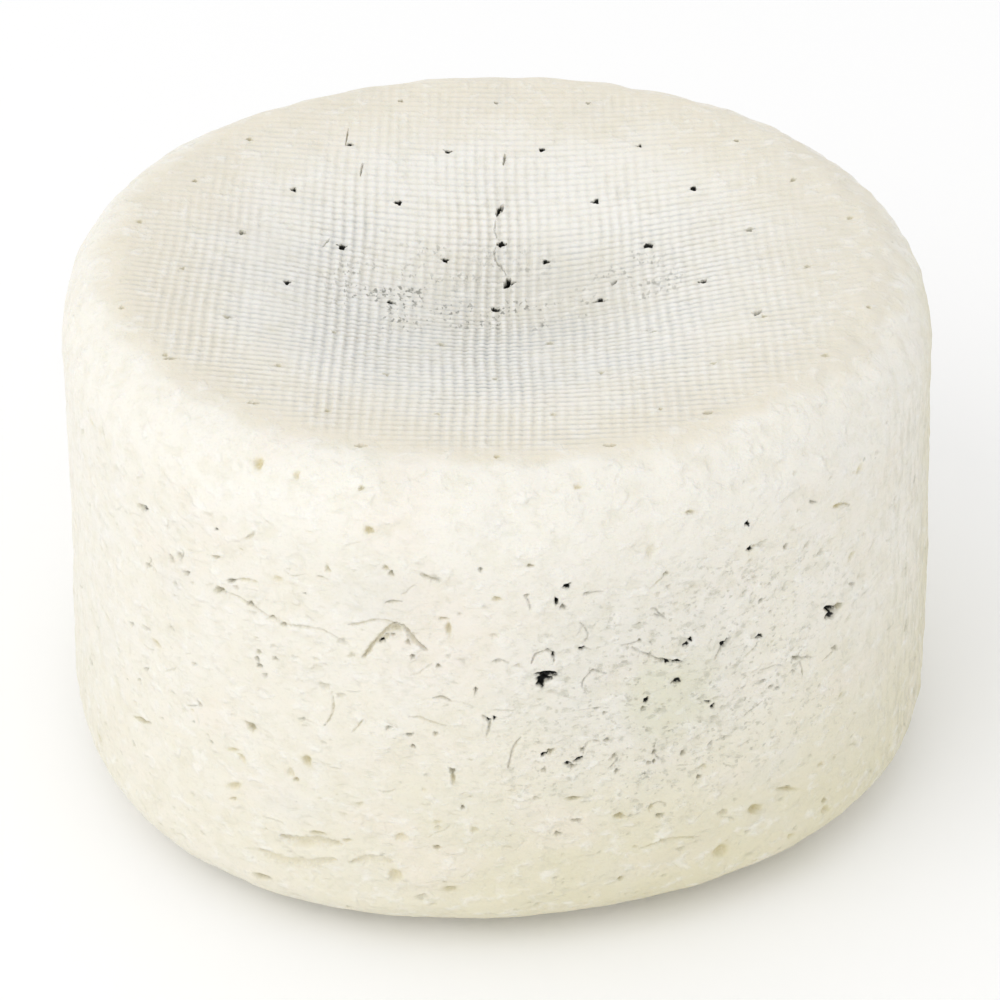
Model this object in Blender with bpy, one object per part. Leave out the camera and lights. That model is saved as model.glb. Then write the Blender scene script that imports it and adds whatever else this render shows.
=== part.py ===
"""Blue cheese wheel: a pierced drum of blue cheese with a sunken, mat-printed upper face.

Metres, +Z up. The origin is the middle of the flat underside, and -Y is the front.
The wheel is one solid. Its outline is a turned profile, made uneven by a few lobes and a gentle swell.
The needle channels, the openings between the curds and the fissures are cut from it.
"""

import math

import bmesh
import bpy
import numpy as np
from mathutils import Matrix, Vector

MM = 0.001

# Driving dimensions
RADIUS = 100 * MM
HEIGHT = 116.4 * MM  # crest of the rim above the underside
DISH_DEPTH = 13.0 * MM  # crest of the rim down to the middle of the sunken face

# Profile, each size as a share of the radius
TOP_RADIUS = 0.975 * RADIUS  # the wall where the shoulder starts
FOOT_RADIUS = 1.006 * RADIUS  # the wall where the lower edge starts
SHOULDER_WIDTH, SHOULDER_HEIGHT, SHOULDER_POWER = 0.154 * RADIUS, 0.196 * RADIUS, 2.2
EDGE_WIDTH, EDGE_HEIGHT, EDGE_POWER = 0.310 * RADIUS, 0.158 * RADIUS, 2.3
RIM_RADIUS = TOP_RADIUS - SHOULDER_WIDTH
FLAT_RADIUS = FOOT_RADIUS - EDGE_WIDTH
DISH_SPREAD = 1.67  # how tightly the dip gathers in the middle of the face
DISH_LIP = 0.9 * MM  # part of the dip that lies close inside the rim

# Unevenness: (waves round the wheel, size as a share of the radius, angle of a crest in degrees)
TOP_LOBES = [(1, 0.0047, -23), (2, 0.0112, 82), (3, 0.0073, 30), (4, 0.0086, -30)]
FOOT_LOBES = [(1, 0.0013, 48), (2, 0.0049, 18), (3, 0.0097, -2), (4, 0.0150, -37)]
TOP_LEAN = (0.003, -0.010)  # rise of the upper face along +X and +Y, per metre
SWELL = 0.45 * MM
# Swell: waves per metre along X, Y and Z, and a starting angle in radians
SWELL_WAVES = [(31, 17, 22, 0.4), (-19, 36, 9, 2.1), (12, -27, 41, 4.0), (44, 11, -30, 5.2), (-38, -25, 18, 1.3)]

# Faces
SEGMENTS = 96
FLAT_RINGS, EDGE_RINGS, WALL_RINGS, SHOULDER_RINGS, DISH_RINGS = 3, 6, 9, 6, 13

# Needle channels, on a triangular lattice across the upper face
NEEDLE_PITCH = 22.7 * MM
NEEDLE_ROW = NEEDLE_PITCH * math.sqrt(3) / 2
NEEDLE_ORIGIN = (0.4 * MM, -5.0 * MM)
NEEDLE_REACH = 83 * MM  # the channels lie within this radius
NEEDLE_RADIUS, NEEDLE_DEPTH, NEEDLE_SIDES = 0.9 * MM, 7 * MM, 6

# Openings in the wall that stand out: angle in degrees with the front at -90, then height, width, tallness and depth
# in millimetres, then the turn in degrees
WALL_OPENINGS = [
    (-84.0, 74, 5.2, 3.6, 6.0, 12),
    (-84.4, 79, 4.4, 1.6, 2.2, 8),
    (-44.5, 69, 7.8, 3.8, 4.5, 8),
    (-103.4, 81, 3.2, 1.8, 3.0, 20),
    (-81.5, 96, 3.0, 2.2, 2.6, 20),
    (-82.7, 91, 2.8, 2.6, 2.6, -25),
    (-66.4, 77, 3.4, 1.7, 2.6, 45),
    (-61.5, 74, 4.2, 1.6, 2.4, 55),
    (-68.5, 72, 4.8, 1.3, 2.4, -8),
    (-56.5, 72, 2.4, 1.5, 2.2, 0),
    (-50.8, 63, 3.4, 2.4, 2.2, 0),
    (-72.0, 64, 1.7, 3.0, 2.2, 0),
    (-63.5, 60, 3.4, 1.7, 2.0, -40),
    (-83.5, 55, 4.0, 1.8, 2.6, 28),
    (-90.5, 64, 2.2, 3.4, 2.0, 0),
    (-95.0, 50, 2.4, 3.2, 2.2, 0),
    (-100.0, 60, 3.6, 1.6, 2.2, -15),
    (-118.0, 71, 4.4, 3.4, 2.6, 0),
    (-113.0, 49, 3.2, 2.8, 2.0, 0),
    (-136.5, 95, 4.6, 2.2, 2.6, 0),
    (-59.0, 101, 2.2, 1.8, 2.0, 0),
    (-120.0, 114, 3.0, 2.8, 1.6, 0),
    (-56.5, 27, 3.6, 3.0, 1.8, 0),
    (-61.5, 20, 3.8, 3.0, 1.8, 0),
]
# Fissures: the line they follow, then how far they gape and how deep they go in millimetres
WALL_FISSURES = [
    ([(-107.2, 78), (-105, 83), (-102.6, 86), (-100.6, 86), (-98.5, 83.5), (-96, 80)], 2.2, 2.6),
    ([(-123.4, 86), (-121.4, 88.5), (-119, 85.5), (-115, 84), (-111.8, 82.5)], 1.6, 1.6),
    ([(-83.0, 52), (-81.0, 51.8), (-79.8, 53.2), (-78.6, 56)], 2.0, 2.6),
]
FACE_FISSURES = [
    ([(1.6, 50), (2.0, 53.5), (1.4, 57), (2.2, 60)], 1.4, 2.5),
    ([(3.2, 4), (4.4, 7), (3.2, 10.5), (3.8, 13)], 2.0, 4.0),
    ([(1.2, 19), (1.8, 23), (1.2, 26), (2.0, 29)], 1.6, 3.0),
]
SMALL_OPENINGS = 44
OPENING_SEED = 7


def unit_of(angle):
    """The direction of an angle in degrees, seen from above."""
    return Vector((math.cos(math.radians(angle)), math.sin(math.radians(angle)), 0))


def lobes(table, angle):
    """The share of the radius that the lobes add at an angle in radians."""
    return sum(size * np.cos(waves * (angle - math.radians(crest))) for waves, size, crest in table)


def dish_drop(share):
    """How far the sunken face lies under the rim, at a share of the rim's radius."""
    edge = math.exp(-(DISH_SPREAD**2))
    bowl = (np.exp(-((DISH_SPREAD * share) ** 2)) - edge) / (1 - edge)
    return (DISH_DEPTH - DISH_LIP) * bowl + DISH_LIP * (1 - share**4)


def corner(steps, power):
    """A quarter of a superellipse, as (outward, upward) shares from the flat end to the upright end."""
    turns = np.linspace(0, math.pi / 2, steps + 1)
    return np.sin(turns) ** (2 / power), np.cos(turns) ** (2 / power)


def profile():
    """Radii and heights of the rings, from the middle of the underside round to the middle of the face."""
    flat = np.linspace(0, FLAT_RADIUS, FLAT_RINGS + 1)
    out, up = corner(EDGE_RINGS, EDGE_POWER)
    edge = FLAT_RADIUS + EDGE_WIDTH * out, EDGE_HEIGHT * (1 - up)
    share = np.linspace(0, 1, WALL_RINGS + 1)
    wall = (
        FOOT_RADIUS + (TOP_RADIUS - FOOT_RADIUS) * share,
        EDGE_HEIGHT + (HEIGHT - SHOULDER_HEIGHT - EDGE_HEIGHT) * share,
    )
    out, up = corner(SHOULDER_RINGS, SHOULDER_POWER)
    shoulder = (RIM_RADIUS + SHOULDER_WIDTH * out)[::-1], (HEIGHT - SHOULDER_HEIGHT * (1 - up))[::-1]
    inward = np.linspace(1, 0, DISH_RINGS + 1)
    dish = RIM_RADIUS * inward, HEIGHT - dish_drop(inward)
    radii = np.concatenate([flat, edge[0][1:], wall[0][1:], shoulder[0][1:], dish[0][1:]])
    heights = np.concatenate([flat * 0, edge[1][1:], wall[1][1:], shoulder[1][1:], dish[1][1:]])
    on_face = np.arange(len(radii)) >= len(radii) - DISH_RINGS - 1
    return radii, heights, on_face


def place(radius, height, on_face, angle):
    """The uneven wheel's point for a profile point and an angle in radians."""
    share = 1.0 if on_face else min(1.0, height / HEIGHT)
    grown = radius * (1 + lobes(TOP_LOBES, angle) * share + lobes(FOOT_LOBES, angle) * (1 - share))
    x, y = grown * math.cos(angle), grown * math.sin(angle)
    z = height + (TOP_LEAN[0] * x + TOP_LEAN[1] * y) * share**2
    return Vector((x, y, z))


def swell(point):
    """The gentle bulging in and out of the curd, which leaves the underside flat."""
    waves = sum(math.sin(a * point.x + b * point.y + c * point.z + d) for a, b, c, d in SWELL_WAVES)
    return SWELL * waves / 2 * min(1.0, point.z / EDGE_HEIGHT) ** 2


def wheel_mesh():
    """The turned body, closed at its two middles."""
    radii, heights, on_face = profile()
    directions = np.stack([np.gradient(heights), -np.gradient(radii)], axis=1)
    directions /= np.linalg.norm(directions, axis=1, keepdims=True)
    mesh = bmesh.new()
    rings = []
    for radius, height, face, (outward, upward) in zip(radii, heights, on_face, directions):
        ring = []
        for step in range(1 if radius == 0 else SEGMENTS):
            angle = 2 * math.pi * step / SEGMENTS
            point = place(radius, height, face, angle)
            normal = Vector((outward * math.cos(angle), outward * math.sin(angle), upward))
            ring.append(mesh.verts.new(point + normal * swell(point)))
        rings.append(ring)
    for low, high in zip(rings, rings[1:]):
        for step in range(SEGMENTS):
            after = (step + 1) % SEGMENTS
            around = [low[step % len(low)], low[after % len(low)], high[after % len(high)], high[step % len(high)]]
            mesh.faces.new(list(dict.fromkeys(around)))
    bmesh.ops.recalc_face_normals(mesh, faces=mesh.faces)
    return mesh


def ring_at(height):
    """Radius of the turned profile's outer side at a height."""
    radii, heights, on_face = profile()
    outer = slice(FLAT_RINGS + 1, len(radii) - DISH_RINGS - 1)
    return float(np.interp(height, heights[outer], radii[outer]))


def wall_frame(angle, height):
    """The wall's point, and the directions along the wall, up it and out of it, at degrees and a height."""
    point = place(ring_at(height), height, False, math.radians(angle))
    above = ring_at(height + 2 * MM)
    below = ring_at(height - 2 * MM)
    along = unit_of(angle + 90)
    upward = (unit_of(angle) * (above - below) + Vector((0, 0, 4 * MM))).normalized()
    return point, along, upward, along.cross(upward)


def face_point(x, y):
    """The point of the sunken face over x, y."""
    radius, angle = math.hypot(x, y), math.atan2(y, x)
    rim = RIM_RADIUS * (1 + lobes(TOP_LOBES, angle))
    return Vector((x, y, HEIGHT - dish_drop(radius / rim) + TOP_LEAN[0] * x + TOP_LEAN[1] * y))


def add_opening(mesh, row, detail, random):
    """Adds a torn, rounded cutter that straddles the wall."""
    angle, height, width, tall, depth, turn = row
    point, along, upward, outward = wall_frame(angle, height * MM)
    frame = Matrix((along, upward, outward)).transposed() @ Matrix.Rotation(math.radians(turn), 3, "Z")
    made = bmesh.ops.create_icosphere(mesh, subdivisions=detail, radius=1)["verts"]
    for vertex in made:
        torn = vertex.co * random.uniform(0.78, 1.12)
        size = Vector((torn.x * width / 2, torn.y * tall / 2, torn.z * (depth if torn.z < 0 else 1.5)))
        vertex.co = point + frame @ (size * MM)


def add_fissure(mesh, points, upwards, outwards, gape, depth):
    """Adds a long cutter, pointed at both ends, that follows a line of points on the surface."""
    ends = mesh.verts.new(points[0]), mesh.verts.new(points[-1])
    rings = []
    for point, upward, outward in zip(points[1:-1], upwards[1:-1], outwards[1:-1]):
        corners = (upward * gape / 2, outward * MM, -upward * gape / 2, -outward * depth)
        rings.append([mesh.verts.new(point + corner_offset) for corner_offset in corners])
    for ring, after in zip(rings, rings[1:]):
        for side in range(4):
            beside = (side + 1) % 4
            mesh.faces.new((ring[side], ring[beside], after[beside], after[side]))
    for side in range(4):
        beside = (side + 1) % 4
        mesh.faces.new((ends[0], rings[0][beside], rings[0][side]))
        mesh.faces.new((ends[1], rings[-1][side], rings[-1][beside]))


def add_needle(mesh, x, y):
    """Adds the straight channel that a piercing needle leaves in the face."""
    top = face_point(x, y)
    turned = Matrix.Translation(top + Vector((0, 0, 2 * MM - NEEDLE_DEPTH / 2)))
    bmesh.ops.create_cone(
        mesh,
        cap_ends=True,
        segments=NEEDLE_SIDES,
        radius1=NEEDLE_RADIUS,
        radius2=NEEDLE_RADIUS,
        depth=NEEDLE_DEPTH + 4 * MM,
        matrix=turned,
    )


def needle_places(random):
    """The lattice's places on the face, each a little off its mark."""
    places = []
    for row in range(-5, 6):
        for column in range(-5, 6):
            x = NEEDLE_ORIGIN[0] + NEEDLE_PITCH * (column + row % 2 / 2) + random.uniform(-0.6, 0.6) * MM
            y = NEEDLE_ORIGIN[1] + NEEDLE_ROW * row + random.uniform(-0.6, 0.6) * MM
            if math.hypot(x, y) < NEEDLE_REACH:
                places.append((x, y))
    return places


def far_from(taken, angle, height, gap):
    """Whether a place on the wall keeps its distance from those taken."""
    return all(
        math.hypot(math.radians((angle - other + 180) % 360 - 180) * RADIUS, (height - level) * MM) > gap
        for other, level in taken
    )


def scattered_openings(random):
    """The smaller openings, spread round the whole wall."""
    taken = [row[:2] for row in WALL_OPENINGS]
    taken += [place_on_wall for line in WALL_FISSURES for place_on_wall in line[0]]
    rows = []
    while len(rows) < SMALL_OPENINGS:
        angle, height = random.uniform(-180, 180), random.uniform(16, 104)
        if far_from(taken, angle, height, 9 * MM):
            taken.append((angle, height))
            width = random.uniform(2.0, 4.2)
            tall, depth = width * random.uniform(0.45, 0.8), width * random.uniform(0.5, 0.9)
            rows.append((angle, height, width, tall, depth, random.uniform(-35, 35)))
    return rows


def cutter_mesh():
    """Everything that is cut from the wheel, as closed shapes that keep clear of one another."""
    random = np.random.RandomState(OPENING_SEED)
    mesh = bmesh.new()
    for x, y in needle_places(random):
        add_needle(mesh, x, y)
    for row in WALL_OPENINGS:
        add_opening(mesh, row, 2, random)
    for row in scattered_openings(random):
        add_opening(mesh, row, 1, random)
    for line, gape, depth in WALL_FISSURES:
        frames = [wall_frame(angle, height * MM) for angle, height in line]
        points, alongs, upwards, outwards = zip(*frames)
        add_fissure(mesh, points, upwards, outwards, gape * MM, depth * MM)
    for line, gape, depth in FACE_FISSURES:
        points = [face_point(x * MM, y * MM) for x, y in line]
        across = [Vector((1, 0, 0))] * len(points)
        add_fissure(mesh, points, across, [Vector((0, 0, 1))] * len(points), gape * MM, depth * MM)
    bmesh.ops.recalc_face_normals(mesh, faces=mesh.faces)
    return mesh


def add_object(name, mesh):
    """Puts a mesh into the scene as a smooth-shaded object."""
    data = bpy.data.meshes.new(name)
    mesh.to_mesh(data)
    mesh.free()
    for polygon in data.polygons:
        polygon.use_smooth = True
    made = bpy.data.objects.new(name, data)
    bpy.context.scene.collection.objects.link(made)
    return made


def rind_material():
    """The pale, faintly moist rind."""
    material = bpy.data.materials.new("cheese_rind")
    material.use_nodes = True
    shader = material.node_tree.nodes["Principled BSDF"]
    shader.inputs["Base Color"].default_value = (0.83, 0.80, 0.70, 1)
    shader.inputs["Roughness"].default_value = 0.55
    return material


def build():
    for old in list(bpy.data.objects):
        bpy.data.objects.remove(old)
    wheel = add_object("cheese_wheel", wheel_mesh())
    wheel.data.materials.append(rind_material())
    cutters = add_object("openings", cutter_mesh())
    cutters.hide_render = True
    cutters.display_type = "WIRE"
    cut = wheel.modifiers.new("openings", "BOOLEAN")
    cut.operation = "DIFFERENCE"
    cut.solver = "EXACT"
    cut.object = cutters


build()
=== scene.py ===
"""Blue cheese wheel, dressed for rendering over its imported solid.

Metres, +Z up, -Y towards the camera. One closed skin replaces the solid: the same turned and lobed form, with the
mat's weave pressed into both faces, needle channels, openings between the curds, creases and a grained rind.
The skin is one mesh of three sheets (the wall, the upper face and the underside), stitched where they meet.
"""

import math

import bpy
import numpy as np
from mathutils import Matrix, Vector, geometry, kdtree


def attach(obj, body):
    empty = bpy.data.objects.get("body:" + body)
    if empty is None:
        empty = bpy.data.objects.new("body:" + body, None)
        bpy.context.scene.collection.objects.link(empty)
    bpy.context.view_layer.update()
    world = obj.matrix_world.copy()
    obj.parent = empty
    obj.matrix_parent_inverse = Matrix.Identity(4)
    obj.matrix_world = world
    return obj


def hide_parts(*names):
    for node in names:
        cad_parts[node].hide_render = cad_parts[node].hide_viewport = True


MM = 0.001
TURN = 2 * math.pi

# Form of the wheel, the same as the solid's
RADIUS = 100 * MM
HEIGHT = 116.4 * MM
DISH_DEPTH = 13.0 * MM
TOP_RADIUS = 0.975 * RADIUS
FOOT_RADIUS = 1.006 * RADIUS
SHOULDER_WIDTH, SHOULDER_HEIGHT, SHOULDER_POWER = 0.154 * RADIUS, 0.196 * RADIUS, 2.2
EDGE_WIDTH, EDGE_HEIGHT, EDGE_POWER = 0.310 * RADIUS, 0.158 * RADIUS, 2.3
RIM_RADIUS = TOP_RADIUS - SHOULDER_WIDTH
FLAT_RADIUS = FOOT_RADIUS - EDGE_WIDTH
DISH_SPREAD = 1.67
DISH_LIP = 0.9 * MM
TOP_LOBES = [(1, 0.0047, -23), (2, 0.0112, 82), (3, 0.0073, 30), (4, 0.0086, -30)]
FOOT_LOBES = [(1, 0.0013, 48), (2, 0.0049, 18), (3, 0.0097, -2), (4, 0.0150, -37)]
TOP_LEAN = (0.003, -0.010)
SWELL = 0.45 * MM
SWELL_WAVES = [(31, 17, 22, 0.4), (-19, 36, 9, 2.1), (12, -27, 41, 4.0), (44, 11, -30, 5.2), (-38, -25, 18, 1.3)]

# The mat's weave: ribs along Y, crossed by finer lines along X. It pressed a disc that lies a little off the middle
RIB_PITCH, LINE_PITCH = 2.3 * MM, 2.2 * MM
RIB_DEPTH, LINE_DEPTH = 0.20 * MM, 0.12 * MM
MAT_RADIUS = 88 * MM
MAT_MIDDLE = (1.5 * MM, 2.5 * MM)
MAT_STEP = 0.30 * MM  # how far the mat pressed the face in, inside the shoulder

# Faces: the wall's spacing, the border between its sheet and the upper face's, and how finely detail is divided
WALL_STEP = 0.92 * MM
BORDER_RADIUS = 87.5 * MM
DIVISIONS = 4
SEED = 11

# Needle channels, on a triangular lattice
NEEDLE_PITCH = 22.7 * MM
NEEDLE_ROW = NEEDLE_PITCH * math.sqrt(3) / 2
NEEDLE_ORIGIN = (0.4 * MM, -5.0 * MM)
NEEDLE_REACH = 84 * MM
TORN_NEEDLE = (1.4 * MM, 33.4 * MM)

# Openings in the wall that stand out. Angle in degrees with the front at -90, height, width, tallness and depth in
# millimetres, turn in degrees, then how dark the opening is and how ochre, from 0 to 1
WALL_OPENINGS = [
    (-140.3, 61.5, 2.2, 1.1, 1.0, 29, 0.35, 0.0),
    (-138.9, 48.5, 1.7, 0.8, 0.8, 29, 0.25, 0.0),
    (-138.8, 38.0, 5.1, 1.4, 1.2, 17, 0.25, 0.65),
    (-137.2, 53.0, 2.2, 1.0, 0.8, 28, 0.25, 0.0),
    (-137.1, 63.5, 3.3, 1.1, 0.8, 14, 0.25, 0.0),
    (-136.6, 93.5, 1.7, 1.2, 1.6, 26, 0.8, 0.0),
    (-137.6, 93.0, 2.6, 1.5, 0.8, 5, 0.4, 0.15),
    (-136.3, 80.0, 2.1, 1.0, 1.0, 26, 0.35, 0.0),
    (-106.0, 113.0, 1.4, 1.1, 0.6, 20, 0.2, 0.6),
    (-131.6, 85.5, 1.9, 1.8, 0.9, 76, 0.25, 0.0),
    (-130.9, 80.0, 1.5, 1.4, 0.9, -38, 0.3, 0.0),
    (-130.3, 87.5, 1.3, 1.1, 1.0, 24, 0.35, 0.0),
    (-129.0, 1.5, 4.5, 3.4, 1.2, -23, 0.05, 0.5),
    (-128.9, 84.5, 2.3, 1.0, 1.1, 30, 0.4, 0.0),
    (-128.2, 62.5, 1.4, 0.9, 0.8, 24, 0.25, 0.0),
    (-127.4, 53.0, 1.4, 1.1, 1.0, -65, 0.4, 0.0),
    (-124.3, 91.5, 2.8, 0.9, 1.0, 21, 0.3, 0.3),
    (-123.8, 84.0, 3.0, 1.5, 1.6, 33, 0.5, 0.4),
    (-122.5, 32.5, 2.0, 1.0, 0.7, 23, 0.05, 0.5),
    (-122.3, 45.5, 3.9, 1.0, 0.8, 22, 0.0, 0.55),
    (-122.3, 36.0, 4.2, 1.8, 0.8, 31, 0.05, 0.55),
    (-122.0, 87.5, 2.5, 0.9, 1.5, 24, 0.6, 0.1),
    (-121.0, 44.5, 2.5, 1.6, 0.8, -40, 0.0, 0.55),
    (-120.0, 113.0, 3.1, 2.4, 1.0, -73, 0.0, 0.8),
    (-119.7, 53.0, 2.5, 2.1, 1.4, -27, 0.4, 0.55),
    (-119.4, 83.5, 1.8, 1.2, 1.5, -1, 0.55, 0.15),
    (-119.3, 2.5, 3.5, 2.6, 1.2, -28, 0.15, 0.65),
    (-119.3, 99.5, 3.8, 1.0, 0.7, 42, 0.1, 0.15),
    (-118.8, 14.0, 5.0, 1.9, 1.4, 8, 0.35, 0.5),
    (-118.7, 70.5, 1.2, 1.0, 1.3, -71, 0.6, 0.1),
    (-118.4, 72.5, 1.3, 1.2, 0.9, 19, 0.3, 0.3),
    (-118.4, 69.0, 1.4, 1.2, 1.4, 19, 0.6, 0.1),
    (-117.9, 1.0, 2.0, 1.9, 1.2, 36, 0.25, 0.4),
    (-117.7, 67.0, 1.4, 1.2, 0.8, 19, 0.25, 0.0),
    (-116.4, 82.0, 1.8, 1.1, 1.1, 8, 0.35, 0.25),
    (-116.2, 72.0, 1.2, 1.2, 1.0, 18, 0.35, 0.0),
    (-115.6, 91.5, 2.4, 1.6, 0.7, 17, 0.0, 0.4),
    (-115.0, 81.0, 1.4, 1.0, 1.1, 17, 0.4, 0.15),
    (-114.5, 44.5, 2.5, 2.0, 0.8, -72, 0.0, 0.4),
    (-114.5, 3.5, 3.5, 3.1, 1.0, -14, 0.25, 0.4),
    (-114.5, 113.0, 2.1, 1.5, 0.7, -76, 0.0, 0.5),
    (-113.8, 43.0, 1.5, 1.1, 0.9, 18, 0.2, 0.7),
    (-113.1, 26.5, 8.1, 2.4, 1.4, 11, 0.0, 0.25),
    (-112.4, 48.5, 3.0, 2.2, 1.1, -73, 0.15, 0.8),
    (-111.3, 30.0, 4.1, 1.3, 1.2, 5, 0.1, 0.55),
    (-109.3, 96.5, 1.9, 1.3, 0.8, -77, 0.15, 0.4),
    (-108.5, 2.5, 5.6, 3.4, 1.2, -12, 0.25, 0.65),
    (-107.7, 29.5, 2.3, 1.0, 0.8, 14, 0.1, 0.4),
    (-104.4, 106.5, 2.2, 1.8, 1.1, 8, 0.1, 0.9),
    (-102.9, 81.5, 1.6, 0.8, 1.6, 29, 0.8, 0.1),
    (-102.5, 82.5, 3.2, 1.0, 1.0, 50, 0.15, 0.45),
    (-102.3, 60.5, 1.3, 0.9, 1.0, 9, 0.5, 0.1),
    (-102.3, 99.0, 1.6, 1.2, 0.8, -28, 0.1, 0.45),
    (-101.9, 21.5, 4.0, 3.5, 1.1, -80, 0.0, 0.5),
    (-101.7, 98.0, 1.6, 1.0, 1.1, -82, 0.4, 0.3),
    (-101.6, 83.5, 1.0, 0.8, 1.2, 8, 0.6, 0.2),
    (-101.3, 85.0, 4.1, 2.4, 1.2, 8, 0.2, 0.45),
    (-101.1, 32.0, 3.0, 2.4, 0.8, 9, 0.0, 0.4),
    (-99.9, 59.0, 1.9, 1.0, 1.5, 1, 0.7, 0.1),
    (-99.9, 82.0, 1.5, 1.0, 1.0, -83, 0.4, 0.2),
    (-99.5, 56.0, 1.2, 0.8, 1.4, -31, 0.75, 0.0),
    (-99.4, 78.5, 1.1, 1.0, 1.1, -83, 0.5, 0.1),
    (-96.9, 29.5, 1.9, 1.3, 1.0, 6, 0.3, 0.4),
    (-96.8, 59.5, 1.2, 1.0, 0.8, 5, 0.3, 0.15),
    (-96.4, 76.5, 1.1, 1.0, 1.0, -85, 0.5, 0.0),
    (-95.8, 88.0, 2.0, 0.8, 0.8, 4, 0.1, 0.5),
    (-95.2, 85.5, 3.6, 1.4, 1.1, -86, 0.05, 0.6),
    (-94.9, 50.0, 1.6, 1.2, 1.4, -86, 0.55, 0.25),
    (-94.8, 48.0, 2.9, 1.0, 1.0, -86, 0.2, 0.5),
    (-93.7, 40.5, 1.2, 1.0, 1.0, -87, 0.45, 0.15),
    (-92.3, 34.5, 1.9, 1.6, 0.7, -11, 0.05, 0.4),
    (-92.1, 70.5, 2.0, 0.8, 1.0, -89, 0.55, 0.0),
    (-91.5, 99.5, 1.2, 0.8, 1.0, -89, 0.5, 0.0),
    (-90.6, 63.0, 1.0, 0.9, 1.3, 0, 0.85, 0.0),
    (-89.9, 63.5, 0.9, 0.8, 1.3, 90, 0.95, 0.0),
    (-89.6, 77.5, 1.2, 0.6, 0.7, 0, 0.45, 0.0),
    (-89.6, 92.5, 2.0, 1.4, 0.8, 0, 0.15, 0.6),
    (-86.2, 93.0, 1.0, 1.0, 0.7, -3, 0.4, 0.1),
    (-85.8, 100.0, 1.6, 0.8, 0.8, -3, 0.5, 0.6),
    (-84.4, 71.2, 1.9, 1.9, 2.2, 0, 1.0, 0.0),
    (-84.0, 53.5, 1.7, 1.0, 1.7, 27, 1.0, 0.1),
    (-84.0, 49.5, 1.3, 1.2, 0.8, 85, 0.4, 0.0),
    (-83.7, 79.5, 1.0, 0.7, 1.0, -5, 0.75, 0.0),
    (-84.1, 72.3, 3.4, 2.0, 2.6, 0, 1.0, 0.0),
    (-83.7, 73.5, 5.0, 1.6, 2.6, -6, 1.0, 0.0),
    (-83.2, 54.0, 1.9, 1.3, 1.2, 22, 0.45, 0.5),
    (-83.0, 78.0, 2.0, 0.8, 1.4, 85, 0.8, 0.0),
    (-82.7, 91.0, 2.0, 0.8, 1.8, -77, 1.0, 0.0),
    (-82.2, 32.0, 1.9, 1.2, 1.0, -7, 0.4, 0.1),
    (-82.0, 89.5, 1.2, 1.2, 1.2, -6, 0.7, 0.0),
    (-81.5, 94.5, 1.8, 1.2, 1.6, 25, 0.85, 0.0),
    (-81.1, 50.5, 1.9, 0.8, 1.6, -13, 0.95, 0.0),
    (-80.5, 49.5, 1.7, 1.3, 1.2, -8, 0.5, 0.0),
    (-80.4, 41.0, 3.6, 1.1, 1.1, -4, 0.35, 0.5),
    (-79.9, 51.0, 2.1, 1.2, 1.8, 17, 1.0, 0.0),
    (-79.9, 35.0, 2.4, 0.9, 1.0, -12, 0.4, 0.0),
    (-79.7, 113.5, 1.8, 1.0, 0.6, -6, 0.0, 0.6),
    (-79.6, 79.0, 1.4, 1.1, 1.6, 11, 1.0, 0.0),
    (-79.3, 53.5, 1.4, 1.2, 1.1, 59, 0.5, 0.0),
    (-79.1, 92.0, 1.4, 0.7, 0.8, -2, 0.55, 0.0),
    (-78.2, 73.0, 1.5, 0.7, 0.9, -9, 0.55, 0.0),
    (-77.7, 63.5, 1.9, 0.6, 0.9, 0, 0.55, 0.0),
    (-76.7, 62.0, 1.1, 0.8, 0.9, -10, 0.5, 0.0),
    (-76.3, 55.0, 1.3, 1.0, 0.9, -11, 0.45, 0.0),
    (-75.3, 50.5, 1.6, 1.6, 0.9, 20, 0.4, 0.1),
    (-75.0, 46.5, 1.2, 1.0, 0.9, 78, 0.5, 0.0),
    (-74.5, 34.5, 3.0, 1.5, 1.2, -18, 0.15, 0.65),
    (-74.2, 17.5, 1.4, 1.3, 1.0, -13, 0.25, 0.75),
    (-72.5, 78.5, 1.1, 0.8, 0.9, -13, 0.7, 0.0),
    (-71.8, 61.5, 1.3, 1.0, 1.0, -2, 0.6, 0.2),
    (-71.5, 63.5, 1.5, 1.1, 1.3, 76, 0.85, 0.1),
    (-71.3, 99.5, 4.6, 2.6, 0.6, 78, 0.0, 0.3),
    (-71.2, 74.5, 1.1, 1.0, 0.7, -14, 0.45, 0.0),
    (-70.9, 47.0, 1.2, 0.8, 0.9, -15, 0.5, 0.0),
    (-70.4, 35.0, 1.5, 1.2, 0.7, 36, 0.1, 0.4),
    (-70.2, 49.5, 1.3, 1.2, 1.0, 75, 0.5, 0.0),
    (-70.2, 47.0, 1.0, 0.9, 1.0, 75, 0.6, 0.0),
    (-69.4, 93.5, 1.2, 1.0, 0.7, 9, 0.4, 0.3),
    (-69.3, 32.5, 2.0, 1.2, 1.0, -5, 0.35, 0.25),
    (-69.0, 72.0, 1.1, 0.9, 1.2, 75, 0.9, 0.0),
    (-68.8, 1.0, 2.6, 1.7, 0.6, 28, 0.05, 0.5),
    (-67.7, 71.5, 2.1, 0.8, 1.5, -16, 1.0, 0.0),
    (-67.6, 66.5, 1.9, 1.5, 1.5, -16, 0.9, 0.1),
    (-66.5, 75.0, 1.5, 1.2, 1.5, 6, 0.95, 0.0),
    (-66.5, 47.5, 1.3, 1.1, 1.0, -85, 0.5, 0.2),
    (-66.2, 106.0, 2.6, 0.9, 0.8, -14, 0.05, 0.6),
    (-65.9, 76.0, 1.3, 0.9, 1.4, -58, 0.95, 0.0),
    (-64.2, 40.0, 1.2, 1.1, 1.1, -19, 0.6, 0.0),
    (-63.3, 59.0, 1.6, 0.7, 1.3, -28, 0.85, 0.0),
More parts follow.
